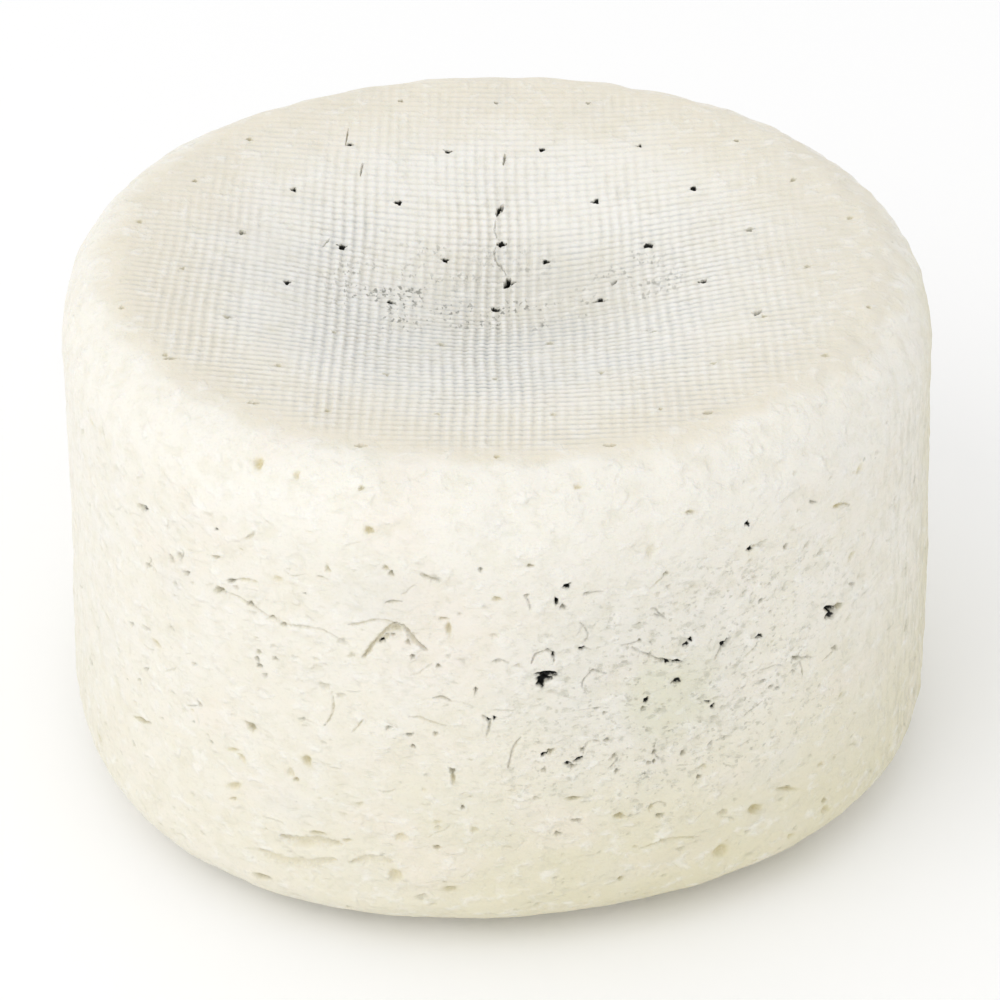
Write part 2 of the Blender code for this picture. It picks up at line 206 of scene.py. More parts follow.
    (-62.7, 48.0, 1.2, 1.1, 1.1, -20, 0.6, 0.0),
    (-62.6, 57.5, 1.7, 1.0, 1.3, 86, 0.85, 0.0),
    (-61.5, 72.5, 1.7, 1.5, 1.7, 50, 1.0, 0.0),
    (-60.8, 73.0, 1.5, 1.4, 0.9, 14, 0.45, 0.0),
    (-60.7, 18.0, 4.2, 3.7, 1.3, -7, 0.05, 0.7),
    (-58.4, 99.5, 1.3, 1.1, 1.4, -42, 0.95, 0.0),
    (-58.1, 93.5, 1.5, 1.1, 1.3, -20, 0.85, 0.1),
    (-56.2, 71.0, 1.9, 1.1, 1.5, -18, 1.0, 0.0),
    (-56.1, 26.5, 4.2, 3.0, 1.4, -25, 0.1, 0.85),
    (-55.3, 59.5, 1.8, 0.6, 0.8, -23, 0.4, 0.0),
    (-54.2, 57.0, 1.5, 0.8, 0.9, -24, 0.5, 0.0),
    (-53.1, 56.0, 1.5, 0.7, 0.9, -24, 0.5, 0.0),
    (-52.5, 90.5, 1.4, 1.1, 1.2, 75, 0.65, 0.1),
    (-51.4, 28.5, 7.3, 1.0, 0.9, -27, 0.05, 0.6),
    (-51.3, 29.0, 2.0, 0.7, 0.9, -27, 0.3, 0.35),
    (-50.3, 61.5, 3.0, 1.0, 1.2, -29, 0.65, 0.1),
    (-48.2, 98.0, 2.1, 0.6, 0.8, -30, 0.5, 0.1),
    (-45.6, 30.0, 3.5, 1.2, 0.6, -29, 0.0, 0.35),
    (-44.4, 68.9, 5.4, 1.8, 2.4, -34, 0.8, 0.1),
    (-44.6, 67.6, 3.2, 2.0, 2.4, -20, 0.9, 0.0),
    (-44.8, 19.5, 2.0, 1.2, 0.8, -30, 0.25, 0.5),
    (-44.7, 17.0, 3.0, 2.0, 1.0, -16, 0.0, 0.65),
    (-43.6, 93.5, 2.7, 1.0, 0.9, -16, 0.1, 1.0),
    (-43.6, 58.5, 2.7, 1.1, 1.0, -28, 0.5, 0.2),
    (-42.9, 68.4, 3.2, 1.7, 1.6, -34, 0.45, 0.6),
    (-40.2, 71.5, 3.0, 0.8, 0.8, -28, 0.4, 0.0),
    (-39.0, 98.5, 2.9, 2.6, 0.7, 43, 0.0, 0.5),
]

# Creases and fissures: the places that the line joins, as angle and height, then gape, depth, darkness and ochre
WALL_CREASES = [
    ([(-101.2, 86.5), (-100.3, 85.7), (-99.5, 83.9), (-98.7, 81.8), (-97.7, 80.2)], 1.3, 1.1, 0.26, 0.35),
    ([(-101.5, 86.2), (-102.3, 84.6), (-103.2, 82.4), (-104.1, 80.3), (-105.1, 77.3)], 1.4, 1.0, 0.16, 0.42),
    ([(-106.9, 84.3), (-105.7, 84.9), (-104.1, 86.2), (-102.6, 86.7), (-101.4, 86.4)], 0.9, 0.5, 0.14, 0.3),
    ([(-98.2, 98.4), (-97.5, 97.6), (-96.8, 97.1), (-96.2, 96.7)], 0.9, 0.7, 0.45, 0.4),
    ([(-102.4, 91.0), (-101.6, 91.5), (-100.5, 91.6)], 0.8, 0.6, 0.45, 0.3),
    ([(-100.6, 93.3), (-100.0, 93.8), (-99.6, 94.9), (-99.0, 95.7)], 0.6, 0.3, 0.15, 0.3),
    ([(-85.5, 76.5), (-85.2, 78.2), (-84.5, 79.1), (-83.7, 79.3), (-83.0, 78.3), (-82.9, 76.6)], 0.7, 0.8, 0.6, 0.0),
    ([(-86.2, 92.6), (-85.9, 91.2), (-85.7, 89.5)], 0.5, 0.4, 0.35, 0.0),
    ([(-78.8, 92.1), (-77.9, 92.1), (-77.1, 91.8)], 0.5, 0.4, 0.35, 0.0),
    ([(-79.9, 85.4), (-79.2, 83.8), (-78.9, 82.0), (-79.4, 80.4)], 0.5, 0.3, 0.35, 0.0),
    ([(-69.7, 93.0), (-70.7, 91.5), (-71.5, 90.6)], 0.7, 0.3, 0.2, 0.4),
    ([(-71.5, 85.8), (-70.7, 85.7), (-70.1, 84.2), (-69.1, 82.4)], 0.5, 0.4, 0.4, 0.0),
    ([(-70.8, 84.5), (-70.1, 83.7), (-69.4, 84.2)], 0.5, 0.4, 0.35, 0.0),
    ([(-74.7, 78.2), (-73.8, 78.1), (-72.5, 78.4)], 0.6, 0.4, 0.3, 0.0),
    ([(-73.5, 77.3), (-72.5, 75.9), (-71.2, 74.4), (-70.2, 73.2)], 0.6, 0.4, 0.35, 0.0),
    ([(-70.4, 73.3), (-69.4, 72.6), (-68.3, 71.9)], 0.8, 0.9, 0.65, 0.0),
    ([(-61.0, 73.0), (-61.6, 71.9), (-62.2, 70.7), (-62.5, 69.7)], 0.9, 0.7, 0.55, 0.0),
    ([(-57.7, 93.9), (-56.7, 93.9), (-55.5, 93.9)], 1.2, 0.5, 0.3, 0.3),
    ([(-43.7, 93.3), (-42.4, 93.1), (-41.1, 91.6)], 0.6, 0.5, 0.2, 0.8),
    ([(-43.8, 58.1), (-44.7, 57.6), (-45.8, 57.3)], 0.7, 0.5, 0.3, 0.3),
    ([(-50.3, 61.3), (-49.3, 60.9), (-47.8, 59.7)], 0.5, 0.5, 0.45, 0.1),
    ([(-50.2, 61.6), (-49.6, 62.9), (-48.9, 63.2)], 0.5, 0.4, 0.4, 0.1),
    ([(-49.7, 60.2), (-49.3, 58.1), (-49.1, 55.7)], 0.5, 0.4, 0.35, 0.1),
    ([(-70.1, 51.7), (-70.3, 50.2), (-69.9, 48.2), (-69.4, 47.2)], 0.5, 0.4, 0.4, 0.0),
    ([(-76.0, 49.9), (-75.4, 50.7), (-74.9, 50.0), (-75.4, 48.6), (-76.0, 47.6)], 0.5, 0.4, 0.4, 0.0),
    ([(-79.2, 52.4), (-78.8, 54.7), (-78.2, 55.4), (-77.2, 54.9)], 0.8, 0.5, 0.3, 0.0),
    ([(-86.8, 58.2), (-87.5, 56.2), (-88.0, 53.5), (-88.3, 50.7)], 0.9, 0.6, 0.28, 0.0),
    ([(-79.5, 69.1), (-79.3, 71.0), (-78.7, 72.3), (-78.0, 73.0), (-76.6, 71.7)], 0.6, 0.5, 0.45, 0.0),
    ([(-70.6, 34.1), (-70.3, 35.5), (-69.3, 35.9), (-68.5, 35.0)], 0.5, 0.3, 0.3, 0.5),
    ([(-91.4, 64.3), (-90.9, 63.6), (-90.4, 63.1), (-89.9, 63.8)], 0.6, 0.5, 0.6, 0.0),
    ([(-90.4, 63.1), (-90.5, 61.3), (-90.8, 59.1)], 0.8, 0.5, 0.5, 0.1),
    ([(-90.2, 77.4), (-89.6, 78.0), (-89.0, 77.7), (-88.3, 77.0)], 0.5, 0.4, 0.4, 0.0),
    ([(-97.0, 68.5), (-96.1, 68.8), (-95.4, 68.3), (-94.9, 67.7)], 0.7, 0.6, 0.5, 0.2),
    ([(-100.0, 63.4), (-98.6, 63.5), (-97.5, 62.6), (-95.6, 61.6)], 0.7, 0.3, 0.2, 0.3),
    ([(-123.2, 84.1), (-121.5, 84.3), (-120.1, 83.8), (-118.4, 82.8), (-116.8, 81.8)], 0.8, 0.4, 0.25, 0.3),
    ([(-116.0, 81.5), (-114.2, 81.3), (-112.1, 81.8), (-110.1, 81.9), (-108.4, 80.9)], 0.9, 0.4, 0.3, 0.2),
    ([(-121.1, 88.4), (-119.7, 89.2), (-118.4, 89.3)], 1.0, 0.4, 0.15, 0.5),
    ([(-140.7, 37.0), (-139.1, 37.8), (-136.6, 39.5)], 0.6, 0.6, 0.4, 0.8),
    ([(-129.8, 50.7), (-128.6, 51.5), (-127.6, 52.6)], 0.5, 0.3, 0.35, 0.0),
    ([(-136.6, 79.0), (-135.7, 81.8), (-136.1, 82.4)], 0.6, 0.3, 0.3, 0.1),
    ([(-130.1, 89.4), (-129.6, 88.6), (-130.1, 86.4)], 0.5, 0.3, 0.35, 0.0),
    ([(-109.1, 67.2), (-108.9, 63.7), (-109.4, 60.5), (-110.2, 58.2)], 0.6, 0.4, 0.2, 0.4),
    ([(-106.7, 58.0), (-106.1, 59.4), (-105.3, 61.7)], 0.6, 0.3, 0.2, 0.5),
    ([(-115.9, 26.9), (-113.6, 27.2), (-111.3, 28.3), (-108.8, 28.5)], 2.8, 1.1, 0.05, 0.25),
    ([(-118.7, 21.5), (-116.0, 21.0), (-112.9, 21.6), (-109.3, 24.3)], 2.8, 1.1, 0.0, 0.2),
    ([(-107.1, 24.0), (-104.6, 25.9), (-102.5, 25.3)], 2.6, 0.9, 0.0, 0.14),
    ([(-110.7, 94.3), (-110.0, 94.4), (-109.1, 94.0)], 0.5, 0.3, 0.3, 0.3),
    ([(-71.8, 24.9), (-67.9, 25.8), (-63.8, 24.1)], 0.8, 0.3, 0.1, 0.4),
    ([(-113.2, 57.9), (-112.4, 58.7), (-111.4, 58.4)], 0.5, 0.2, 0.2, 0.2),
    ([(-103.8, 44.0), (-102.6, 43.8), (-101.6, 44.7)], 0.5, 0.2, 0.2, 0.2),
]

# Marks on the upper face, as x and y in millimetres, then gape, depth, darkness and ochre
FACE_CREASES = [
    ([(0.9, 31.3), (1.4, 33.3), (2.3, 35.0)], 1.3, 2.6, 1.0, 0.0),
    ([(1.1, 21.8), (2.7, 21.8)], 1.6, 2.4, 1.0, 0.0),
    ([(2.5, 5.0), (3.3, 7.0), (3.5, 8.8)], 2.0, 3.2, 1.0, 0.0),
    ([(3.2, 6.8), (4.9, 7.4)], 1.6, 2.0, 1.0, 0.0),
    ([(26.5, 1.3), (27.2, 2.5)], 1.4, 1.6, 0.95, 0.0),
    ([(55.8, -24.0), (56.3, -22.9), (57.0, -22.1)], 1.5, 1.6, 0.8, 0.1),
    ([(-56.4, -24.1), (-54.9, -24.4)], 1.4, 1.2, 0.72, 0.0),
    ([(32.0, -24.0), (33.8, -23.8)], 1.1, 0.9, 0.55, 0.0),
    ([(-68.0, -45.6), (-65.6, -45.2)], 1.4, 0.9, 0.35, 0.35),
    ([(-49.4, -62.8), (-47.6, -62.6)], 1.7, 1.0, 0.42, 0.35),
    ([(-27.2, -79.2), (-25.0, -79.0)], 1.7, 1.0, 0.38, 0.35),
    ([(22.0, -79.4), (24.0, -79.2)], 1.5, 0.9, 0.32, 0.35),
    ([(42.4, -66.4), (44.0, -66.2)], 1.7, 1.0, 0.42, 0.35),
    ([(0.6, 20.6), (0.3, 18.1), (0.8, 15.2), (2.0, 13.4), (2.9, 10.3)], 0.8, 0.5, 0.35, 0.0),
    ([(0.6, 29.5), (0.4, 26.4), (0.9, 23.7)], 0.7, 0.4, 0.35, 0.0),
    ([(2.4, 49.0), (2.8, 53.0)], 0.8, 0.8, 0.45, 0.0),
    ([(-30.6, 42.4), (-30.2, 47.4)], 0.7, 0.9, 0.65, 0.1),
    ([(-34.4, 54.0), (-34.0, 61.0)], 0.5, 0.6, 0.5, 0.4),
    ([(-38.0, 14.0), (-36.6, 17.6)], 0.6, 0.5, 0.3, 0.0),
]

# Where dark flecks gather on the upper face: middle, half width and half depth in millimetres, and strength
FLECKS = [(-22, -3, 17, 15, 1.0), (4, -8, 22, 10, 1.0), (30, 3, 15, 14, 0.55), (-6, 12, 26, 12, 0.45)]


def smooth(low, high, value):
    """A soft step from 0 at low to 1 at high."""
    share = np.clip((value - low) / (high - low), 0, 1)
    return share * share * (3 - 2 * share)


def noise(points, cell, seed):
    """Gradient noise from about -1 to 1, for cells of the given size along X, Y and Z."""
    random = np.random.RandomState(seed)
    order = random.permutation(256)
    slopes = random.normal(size=(256, 3))
    slopes /= np.linalg.norm(slopes, axis=1, keepdims=True)
    scaled = points / np.asarray(cell) + 1000.37
    base = np.floor(scaled).astype(int)
    within = scaled - base
    fade = within * within * within * (within * (within * 6 - 15) + 10)
    total = np.zeros(len(points))
    for corner_index in range(8):
        step = np.array([corner_index & 1, corner_index >> 1 & 1, corner_index >> 2 & 1])
        cell_index = (base + step) & 255
        key = order[(order[(order[cell_index[:, 0]] + cell_index[:, 1]) & 255] + cell_index[:, 2]) & 255]
        weight = np.prod(np.where(step, fade, 1 - fade), axis=1)
        total += weight * np.einsum("ij,ij->i", slopes[key], within - step)
    return total * 1.5


def lobes(table, angle):
    """The share of the radius that the lobes add at an angle in radians."""
    return sum(size * np.cos(waves * (angle - math.radians(crest))) for waves, size, crest in table)


def dish_drop(share):
    """How far the sunken face lies under the rim, at a share of the rim's radius."""
    edge = math.exp(-(DISH_SPREAD**2))
    bowl = (np.exp(-((DISH_SPREAD * share) ** 2)) - edge) / (1 - edge)
    return (DISH_DEPTH - DISH_LIP) * bowl + DISH_LIP * (1 - share**4)


def corner(steps, power):
    """A quarter of a superellipse, as (outward, upward) shares from the flat end to the upright end."""
    turns = np.linspace(0, math.pi / 2, steps + 1)
    return np.sin(turns) ** (2 / power), np.cos(turns) ** (2 / power)


def wall_profile():
    """Lengths along the wall's profile with their radii and heights, from the underside round to the border."""
    out, up = corner(400, EDGE_POWER)
    edge = np.stack([FLAT_RADIUS + EDGE_WIDTH * out, EDGE_HEIGHT * (1 - up)])
    share = np.linspace(0, 1, 200)
    straight = np.stack(
        [
            FOOT_RADIUS + (TOP_RADIUS - FOOT_RADIUS) * share,
            EDGE_HEIGHT + (HEIGHT - SHOULDER_HEIGHT - EDGE_HEIGHT) * share,
        ]
    )
    out, up = corner(400, SHOULDER_POWER)
    shoulder = np.stack([RIM_RADIUS + SHOULDER_WIDTH * out, HEIGHT - SHOULDER_HEIGHT * (1 - up)])[:, ::-1]
    shoulder = shoulder[:, shoulder[0] > BORDER_RADIUS]
    border_up = (1 - ((BORDER_RADIUS - RIM_RADIUS) / SHOULDER_WIDTH) ** SHOULDER_POWER) ** (1 / SHOULDER_POWER)
    border = [[BORDER_RADIUS], [HEIGHT - SHOULDER_HEIGHT * (1 - border_up)]]
    radii, heights = np.concatenate([edge, straight[:, 1:], shoulder[:, 1:], border], axis=1)
    lengths = np.concatenate([[0], np.cumsum(np.hypot(np.diff(radii), np.diff(heights)))])
    return lengths, radii, heights


LENGTHS, RADII, HEIGHTS = wall_profile()


def on_wall(angle, length):
    """Points of the even wall sheet, for angles in radians and lengths along the profile."""
    radius, height = np.interp(length, LENGTHS, RADII), np.interp(length, LENGTHS, HEIGHTS)
    share = np.minimum(1, height / HEIGHT)
    grown = radius * (1 + lobes(TOP_LOBES, angle) * share + lobes(FOOT_LOBES, angle) * (1 - share))
    x, y = grown * np.cos(angle), grown * np.sin(angle)
    return np.stack([x, y, height + (TOP_LEAN[0] * x + TOP_LEAN[1] * y) * share**2], axis=-1)


def on_face(x, y):
    """Points of the even upper face, out to the border."""
    nominal = np.hypot(x, y) / (1 + lobes(TOP_LOBES, np.arctan2(y, x)))
    out = np.clip((nominal - RIM_RADIUS) / SHOULDER_WIDTH, 0, 1)
    up = (1 - out**SHOULDER_POWER) ** (1 / SHOULDER_POWER)
    height = HEIGHT - dish_drop(np.minimum(1, nominal / RIM_RADIUS)) - SHOULDER_HEIGHT * (1 - up)
    return np.stack([x, y, height + TOP_LEAN[0] * x + TOP_LEAN[1] * y], axis=-1)


def on_base(x, y):
    """Points of the flat underside."""
    return np.stack([x, y, np.zeros_like(x)], axis=-1)


def facing(place, first, second, turned=1):
    """Unit normals of the surface that place() gives, by small steps either way."""
    reach = 1e-4
    along = place(first + reach, second) - place(first - reach, second)
    across = place(first, second + reach) - place(first, second - reach)
    normals = np.cross(along, across) * turned
    return normals / np.linalg.norm(normals, axis=1, keepdims=True)


def length_at(height):
    """The length along the wall's profile at a height."""
    return float(np.interp(height, HEIGHTS, LENGTHS))


class Marks:
    """Openings, holes and creases: their places on the even surface, and the shape of each one."""

    def __init__(self):
        self.spots = []
        self.lines = []

    def spot(self, point, along, upward, width, tall, depth, turn, dark, ochre):
        turned = math.radians(turn)
        first = along * math.cos(turned) + upward * math.sin(turned)
        second = upward * math.cos(turned) - along * math.sin(turned)
        self.spots.append((point, first / (width / 2), second / (tall / 2), depth, dark, ochre, max(width, tall) / 2))

    def line(self, points, gape, depth, dark, ochre):
        self.lines.append((curved(points), gape / 2, depth, dark, ochre))


def curved(points):
    """A closely spaced smooth line through a few points."""
    knots = [Vector(point) for point in points]
    knots = [knots[0] * 2 - knots[1], *knots, knots[-1] * 2 - knots[-2]]
    line = []
    for before, start, end, after in zip(knots, knots[1:], knots[2:], knots[3:]):
        for share in np.linspace(0, 1, 8, endpoint=False):
            line.append(
                start
                + (end - before) * share / 2
                + (before * 2 - start * 5 + end * 4 - after) * share**2 / 2
                + (start * 3 - before - end * 3 + after) * share**3 / 2
            )
    return np.array([*line, knots[-2]])


def wall_frame(angle, height):
    """The even wall's point and its directions along and up, at degrees and a height."""
    turned, length = math.radians(angle), length_at(height)
    point = on_wall(np.array([turned]), np.array([length]))[0]
    above = on_wall(np.array([turned]), np.array([length + 0.5 * MM]))[0]
    upward = (above - point) / np.linalg.norm(above - point)
    return point, np.array([-math.sin(turned), math.cos(turned), 0]), upward


def needle_places(random):
    """The lattice's places on a face, each a little off its mark."""
    places = []
    for row in range(-5, 6):
        for column in range(-5, 6):
            x = NEEDLE_ORIGIN[0] + NEEDLE_PITCH * (column + row % 2 / 2) + random.uniform(-0.6, 0.6) * MM
            y = NEEDLE_ORIGIN[1] + NEEDLE_ROW * row + random.uniform(-0.6, 0.6) * MM
            if math.hypot(x, y) < NEEDLE_REACH:
                places.append((x, y))
    return places


def add_needles(marks, random, height_of, dark_share):
    """Needle channels, open and dark in the middle of a face and nearly closed towards its edge."""
    for x, y in needle_places(random):
        if height_of is on_face and math.dist((x, y), TORN_NEEDLE) < 4 * MM:
            continue
        middle = 1 - float(smooth(40 * MM, 80 * MM, math.hypot(x, y - 14 * MM)))
        middle *= 0.2 + 0.8 * float(smooth(-23 * MM, -8 * MM, y))
        width = random.uniform(1.3, 1.85) * MM * (0.75 + 0.3 * middle) * (1 - 0.2 * float(smooth(25 * MM, 50 * MM, y)))
        point = height_of(np.array([x]), np.array([y]))[0]
        marks.spot(
            point,
            np.array([1.0, 0, 0]),
            np.array([0, 1.0, 0]),
            width * 1.12,
            width * random.uniform(0.9, 1.3),
            (0.5 + 2.3 * middle) * MM,
            random.uniform(-25, 25),
            dark_share * (0.30 + 0.70 * middle),
            0.5 * (1 - middle),
        )


def named_marks(marks, random):
    """The marks given one by one above, and the needle channels of both faces."""
    for angle, height, width, tall, depth, turn, dark, ochre in WALL_OPENINGS:
        point, along, upward = wall_frame(angle, height * MM)
        marks.spot(point, along, upward, width * MM, tall * MM, depth * MM, turn, dark, ochre)
    for line, gape, depth, dark, ochre in WALL_CREASES:
        points = [wall_frame(angle, height * MM)[0] for angle, height in line]
        marks.line(points, gape * MM, depth * MM, dark, ochre)
    for line, gape, depth, dark, ochre in FACE_CREASES:
        points = [on_face(np.array([x * MM]), np.array([y * MM]))[0] for x, y in line]
        marks.line(points, gape * MM, depth * MM, dark, ochre)
    add_needles(marks, random, on_face, 1.0)
    add_needles(marks, random, on_base, 0.8)


def scattered_marks(marks, random):
    """The smaller openings, gathered in loose groups round the whole wall, and short seams between the curds."""
    named = np.array([point for point, *_ in marks.spots])
    for _ in range(90):
        angle, height = random.uniform(-5, 185), random.uniform(10, 104)
        point, along, upward = wall_frame(angle, height * MM)
        width = 2.0 * random.lognormal(0, 0.40)
        dark = random.uniform(0.4, 1.0)
        ochre = random.uniform(0.5, 1.0) if random.uniform() < 0.3 else 0.0
        marks.spot(
            point,
            along,
            upward,
            width * MM,
            width * random.uniform(0.4, 0.8) * MM,
            width * random.uniform(0.3, 0.7) * MM,
            random.uniform(-30, 30),
            dark * (1 - 0.7 * ochre),
            ochre,
        )
    wanted = 850
    while wanted:
        angle, height = random.uniform(-180, 180), random.uniform(6, 115.5)
        point, along, upward = wall_frame(angle, height * MM)
        group = noise(point[None], (14 * MM, 14 * MM, 9 * MM), SEED + 1)[0] + 0.5 * veined_share(point[None])[0]
        thin = float(smooth(96, 110, height))
        if random.uniform(-0.6, 1.1) + 0.8 * thin > group or np.linalg.norm(named - point, axis=1).min() < 1.6 * MM:
            continue
        wanted -= 1
        width = 1.3 * random.lognormal(0, 0.42)
        tall = width * random.uniform(0.35, 0.8)
        kind = random.uniform()
        dark = random.uniform(0.35, 0.75) if kind > 0.95 else random.uniform(0.05, 0.26)
        ochre = random.uniform(0.35, 0.8) if kind < 0.10 else random.uniform(0.0, 0.2)
        depth = tall * random.uniform(0.2, 0.5)
        marks.spot(
            point, along, upward, width * MM, tall * MM, depth * MM, random.uniform(-28, 28), dark, ochre * (1 - dark)
        )
    for _ in range(130):
        angle, height = random.uniform(-180, 180), random.uniform(8, 106)
        points = []
        heading = random.uniform(-0.4, 0.4)
        for _ in range(random.randint(2, 5)):
            points.append(wall_frame(angle, height * MM)[0])
            heading += random.uniform(-0.5, 0.5)
            stride = random.uniform(0.9, 2.2)
            angle += math.degrees(stride * math.cos(heading) * MM / RADIUS)
            height += stride * math.sin(heading)
        dark = random.uniform(0.10, 0.30)
        marks.line(points, random.uniform(0.5, 0.8) * MM, random.uniform(0.1, 0.3) * MM, dark, random.uniform(0, 0.2))


def lattice(rows, columns, wraps, kept, fine):
    """A sheet's vertices, as rows and columns of the lattice, and its faces. Fine cells are divided further."""
    parts = DIVISIONS
    width = columns * parts + (0 if wraps else 1)

    def key(row, column):
        return row * width + (column % width if wraps else column)

    cell_rows, cell_columns = np.nonzero(kept & fine)
    quads = []
    for down in range(parts):
        for over in range(parts):
            row, column = cell_rows * parts + down, cell_columns * parts + over
            quads.append(np.stack([key(row, column), key(row, column + 1), key(row + 1, column + 1), key(row + 1, column)], 1))
    ringed = np.pad(fine & kept, 1)
    if wraps:
        ringed[:, 0], ringed[:, -1] = ringed[:, -2], ringed[:, 1]
    below, above, left, right = ringed[:-2, 1:-1], ringed[2:, 1:-1], ringed[1:-1, :-2], ringed[1:-1, 2:]
    beside_fine = below | above | left | right
    cell_rows, cell_columns = np.nonzero(kept & ~fine & ~beside_fine)
    row, column = cell_rows * parts, cell_columns * parts
    quads.append(
        np.stack([key(row, column), key(row, column + parts), key(row + parts, column + parts), key(row + parts, column)], 1)
    )
    faces = np.concatenate(quads).tolist()
    for cell_row, cell_column in zip(*np.nonzero(kept & ~fine & beside_fine)):
        row, column = cell_row * parts, cell_column * parts
        outline = []
        for index in range(parts if below[cell_row, cell_column] else 1):
            outline.append(key(row, column + index))
        for index in range(parts if right[cell_row, cell_column] else 1):
            outline.append(key(row + index, column + parts))
        for index in range(parts if above[cell_row, cell_column] else 1):
            outline.append(key(row + parts, column + parts - index))
        for index in range(parts if left[cell_row, cell_column] else 1):
            outline.append(key(row + parts - index, column))
        faces.append(outline)
    counts = np.array([len(face) for face in faces])
    used, packed = np.unique(np.concatenate([np.array(face) for face in faces]), return_inverse=True)
    packed = packed.tolist()
    ends = np.cumsum(counts)
    faces = [packed[end - count : end] for count, end in zip(counts.tolist(), ends.tolist())]
    return used // width / parts, used % width / parts, faces


def mark_cells(fine, rows, columns, wraps, spread):
    """Flags the cells round places given as rows and columns of the lattice."""
    for row, column, reach in zip(rows, columns, spread):
        low, high = max(0, int(row - reach)), min(fine.shape[0], int(row + reach) + 1)
        across = np.arange(int(math.floor(column - reach)), int(math.floor(column + reach)) + 1)
        across = across % fine.shape[1] if wraps else across[(across >= 0) & (across < fine.shape[1])]
        fine[low:high, across] = True


def mark_places(marks):
    """Every spot's and every line's places with how far each one reaches."""
    places = [(point, reach) for point, _, _, _, _, _, reach in marks.spots]
    for line, half, *_ in marks.lines:
        places += [(point, half * 0.9) for point in line]
    return np.array([point for point, _ in places]), np.array([reach for _, reach in places])


def wall_sheet(marks):
    """The wall, from the underside's flat to the upper face's border."""
    columns = round(TURN * RADIUS / WALL_STEP)
    rows = round(LENGTHS[-1] / WALL_STEP)
    places, reach = mark_places(marks)
    angle = np.arctan2(places[:, 1], places[:, 0])
    height = places[:, 2]
    on_this = (height > 1 * MM) & (np.hypot(places[:, 0], places[:, 1]) > 84 * MM)
    flat_height = (height - (TOP_LEAN[0] * places[:, 0] + TOP_LEAN[1] * places[:, 1]) * (height / HEIGHT) ** 2)[on_this]
    fine = np.zeros((rows, columns), bool)
    length = np.interp(flat_height, HEIGHTS, LENGTHS)
    mark_cells(fine, length / LENGTHS[-1] * rows, (angle[on_this] % TURN) / TURN * columns, True, reach[on_this] / WALL_STEP + 0.35)
    fine[:2] = False
    fine[-2:] = False
    row, column, faces = lattice(rows, columns, True, np.ones_like(fine), fine)
    angle, length = column / columns * TURN, row / rows * LENGTHS[-1]
    points = on_wall(angle, length)
    normals = facing(on_wall, angle, length)
    bottom = np.nonzero(row == 0)[0]
    top = np.nonzero(row == rows)[0]
    return points, normals, faces, (bottom[np.argsort(angle[bottom])], top[np.argsort(angle[top])])


def disc_sheet(place, steps, reach, turned, marks, on_this):
    """A face as a square lattice, cut to cells that lie within its reach."""
    count = [int(1.04 * reach / step) + 2 for step in steps]
    rows, columns = 2 * count[1], 2 * count[0]
    across, along = np.meshgrid(np.arange(columns + 1) - count[0], np.arange(rows + 1) - count[1])
    x, y = across * steps[0], along * steps[1]
    inside = np.hypot(x, y) / nominal_share(x, y, place) < reach - 0.55 * max(steps)
    kept = inside[:-1, :-1] & inside[1:, :-1] & inside[:-1, 1:] & inside[1:, 1:]
    places, spread = mark_places(marks)
    places, spread = places[on_this(places)], spread[on_this(places)]
    fine = np.zeros_like(kept)
    mark_cells(
        fine,
        places[:, 1] / steps[1] + count[1],
        places[:, 0] / steps[0] + count[0],
        False,
        spread / min(steps) + 0.35,
    )
    shrunk = kept.copy()
    shrunk[1:] &= kept[:-1]
    shrunk[:-1] &= kept[1:]
    shrunk[:, 1:] &= kept[:, :-1]
    shrunk[:, :-1] &= kept[:, 1:]
    fine &= shrunk
    row, column, faces = lattice(rows, columns, False, kept, fine)
    x, y = (column - count[0]) * steps[0], (row - count[1]) * steps[1]
    points = place(x, y)
    normals = facing(place, x, y, turned)
    if turned < 0:
        faces = [face[::-1] for face in faces]
    return points, normals, faces


def nominal_share(x, y, place):
    """How much the lobes widen a face towards each place."""
    table = TOP_LOBES if place is on_face else FOOT_LOBES
    return 1 + lobes(table, np.arctan2(y, x))


def border_of(faces):
    """The edges that only one face uses, each in its face's direction."""
    edges = {}
    for face in faces:
        for start, end in zip(face, face[1:] + face[:1]):
            if (end, start) in edges:
                del edges[(end, start)]
            else:
                edges[(start, end)] = True
    return list(edges)


def within(places, loop):
    """Whether each place lies inside a loop, by counting the loop's edges to its right."""
    start, end = loop, np.roll(loop, -1, axis=0)
    crossed = (start[:, 1] > places[:, 1:2]) != (end[:, 1] > places[:, 1:2])
    rise = np.where(end[:, 1] == start[:, 1], 1, end[:, 1] - start[:, 1])
    at = start[:, 0] + (places[:, 1:2] - start[:, 1]) / rise * (end[:, 0] - start[:, 0])
    return (crossed & (at > places[:, :1])).sum(axis=1) % 2 == 1


def stitch(points, inner, outer, upward):
    """Triangles that fill the strip between a lattice's stepped border and the ring round it."""
    follow = dict(inner)
    loop = [inner[0][0]]
    while follow[loop[-1]] != loop[0]:
        loop.append(follow[loop[-1]])
    used = np.array([*loop, *outer])
    flat = points[used, :2]
    count = len(loop)
    edges = [(index, (index + 1) % count) for index in range(count)]
    edges += [(count + index, count + (index + 1) % len(outer)) for index in range(len(outer))]
    _, _, triangles, original, *_ = geometry.delaunay_2d_cdt([Vector(place) for place in flat], edges, [], 0, 1e-9)
    triangles = np.array([[original[index][0] for index in triangle] for triangle in triangles])
    first, second, third = flat[triangles[:, 0]], flat[triangles[:, 1]], flat[triangles[:, 2]]
    middle = (first + second + third) / 3
    turned = np.cross(second - first, third - first) > 0
    triangles[turned != upward] = triangles[turned != upward][:, ::-1]
    kept = within(middle, flat[count:]) & ~within(middle, flat[:count])
    return used[triangles[kept]].tolist()


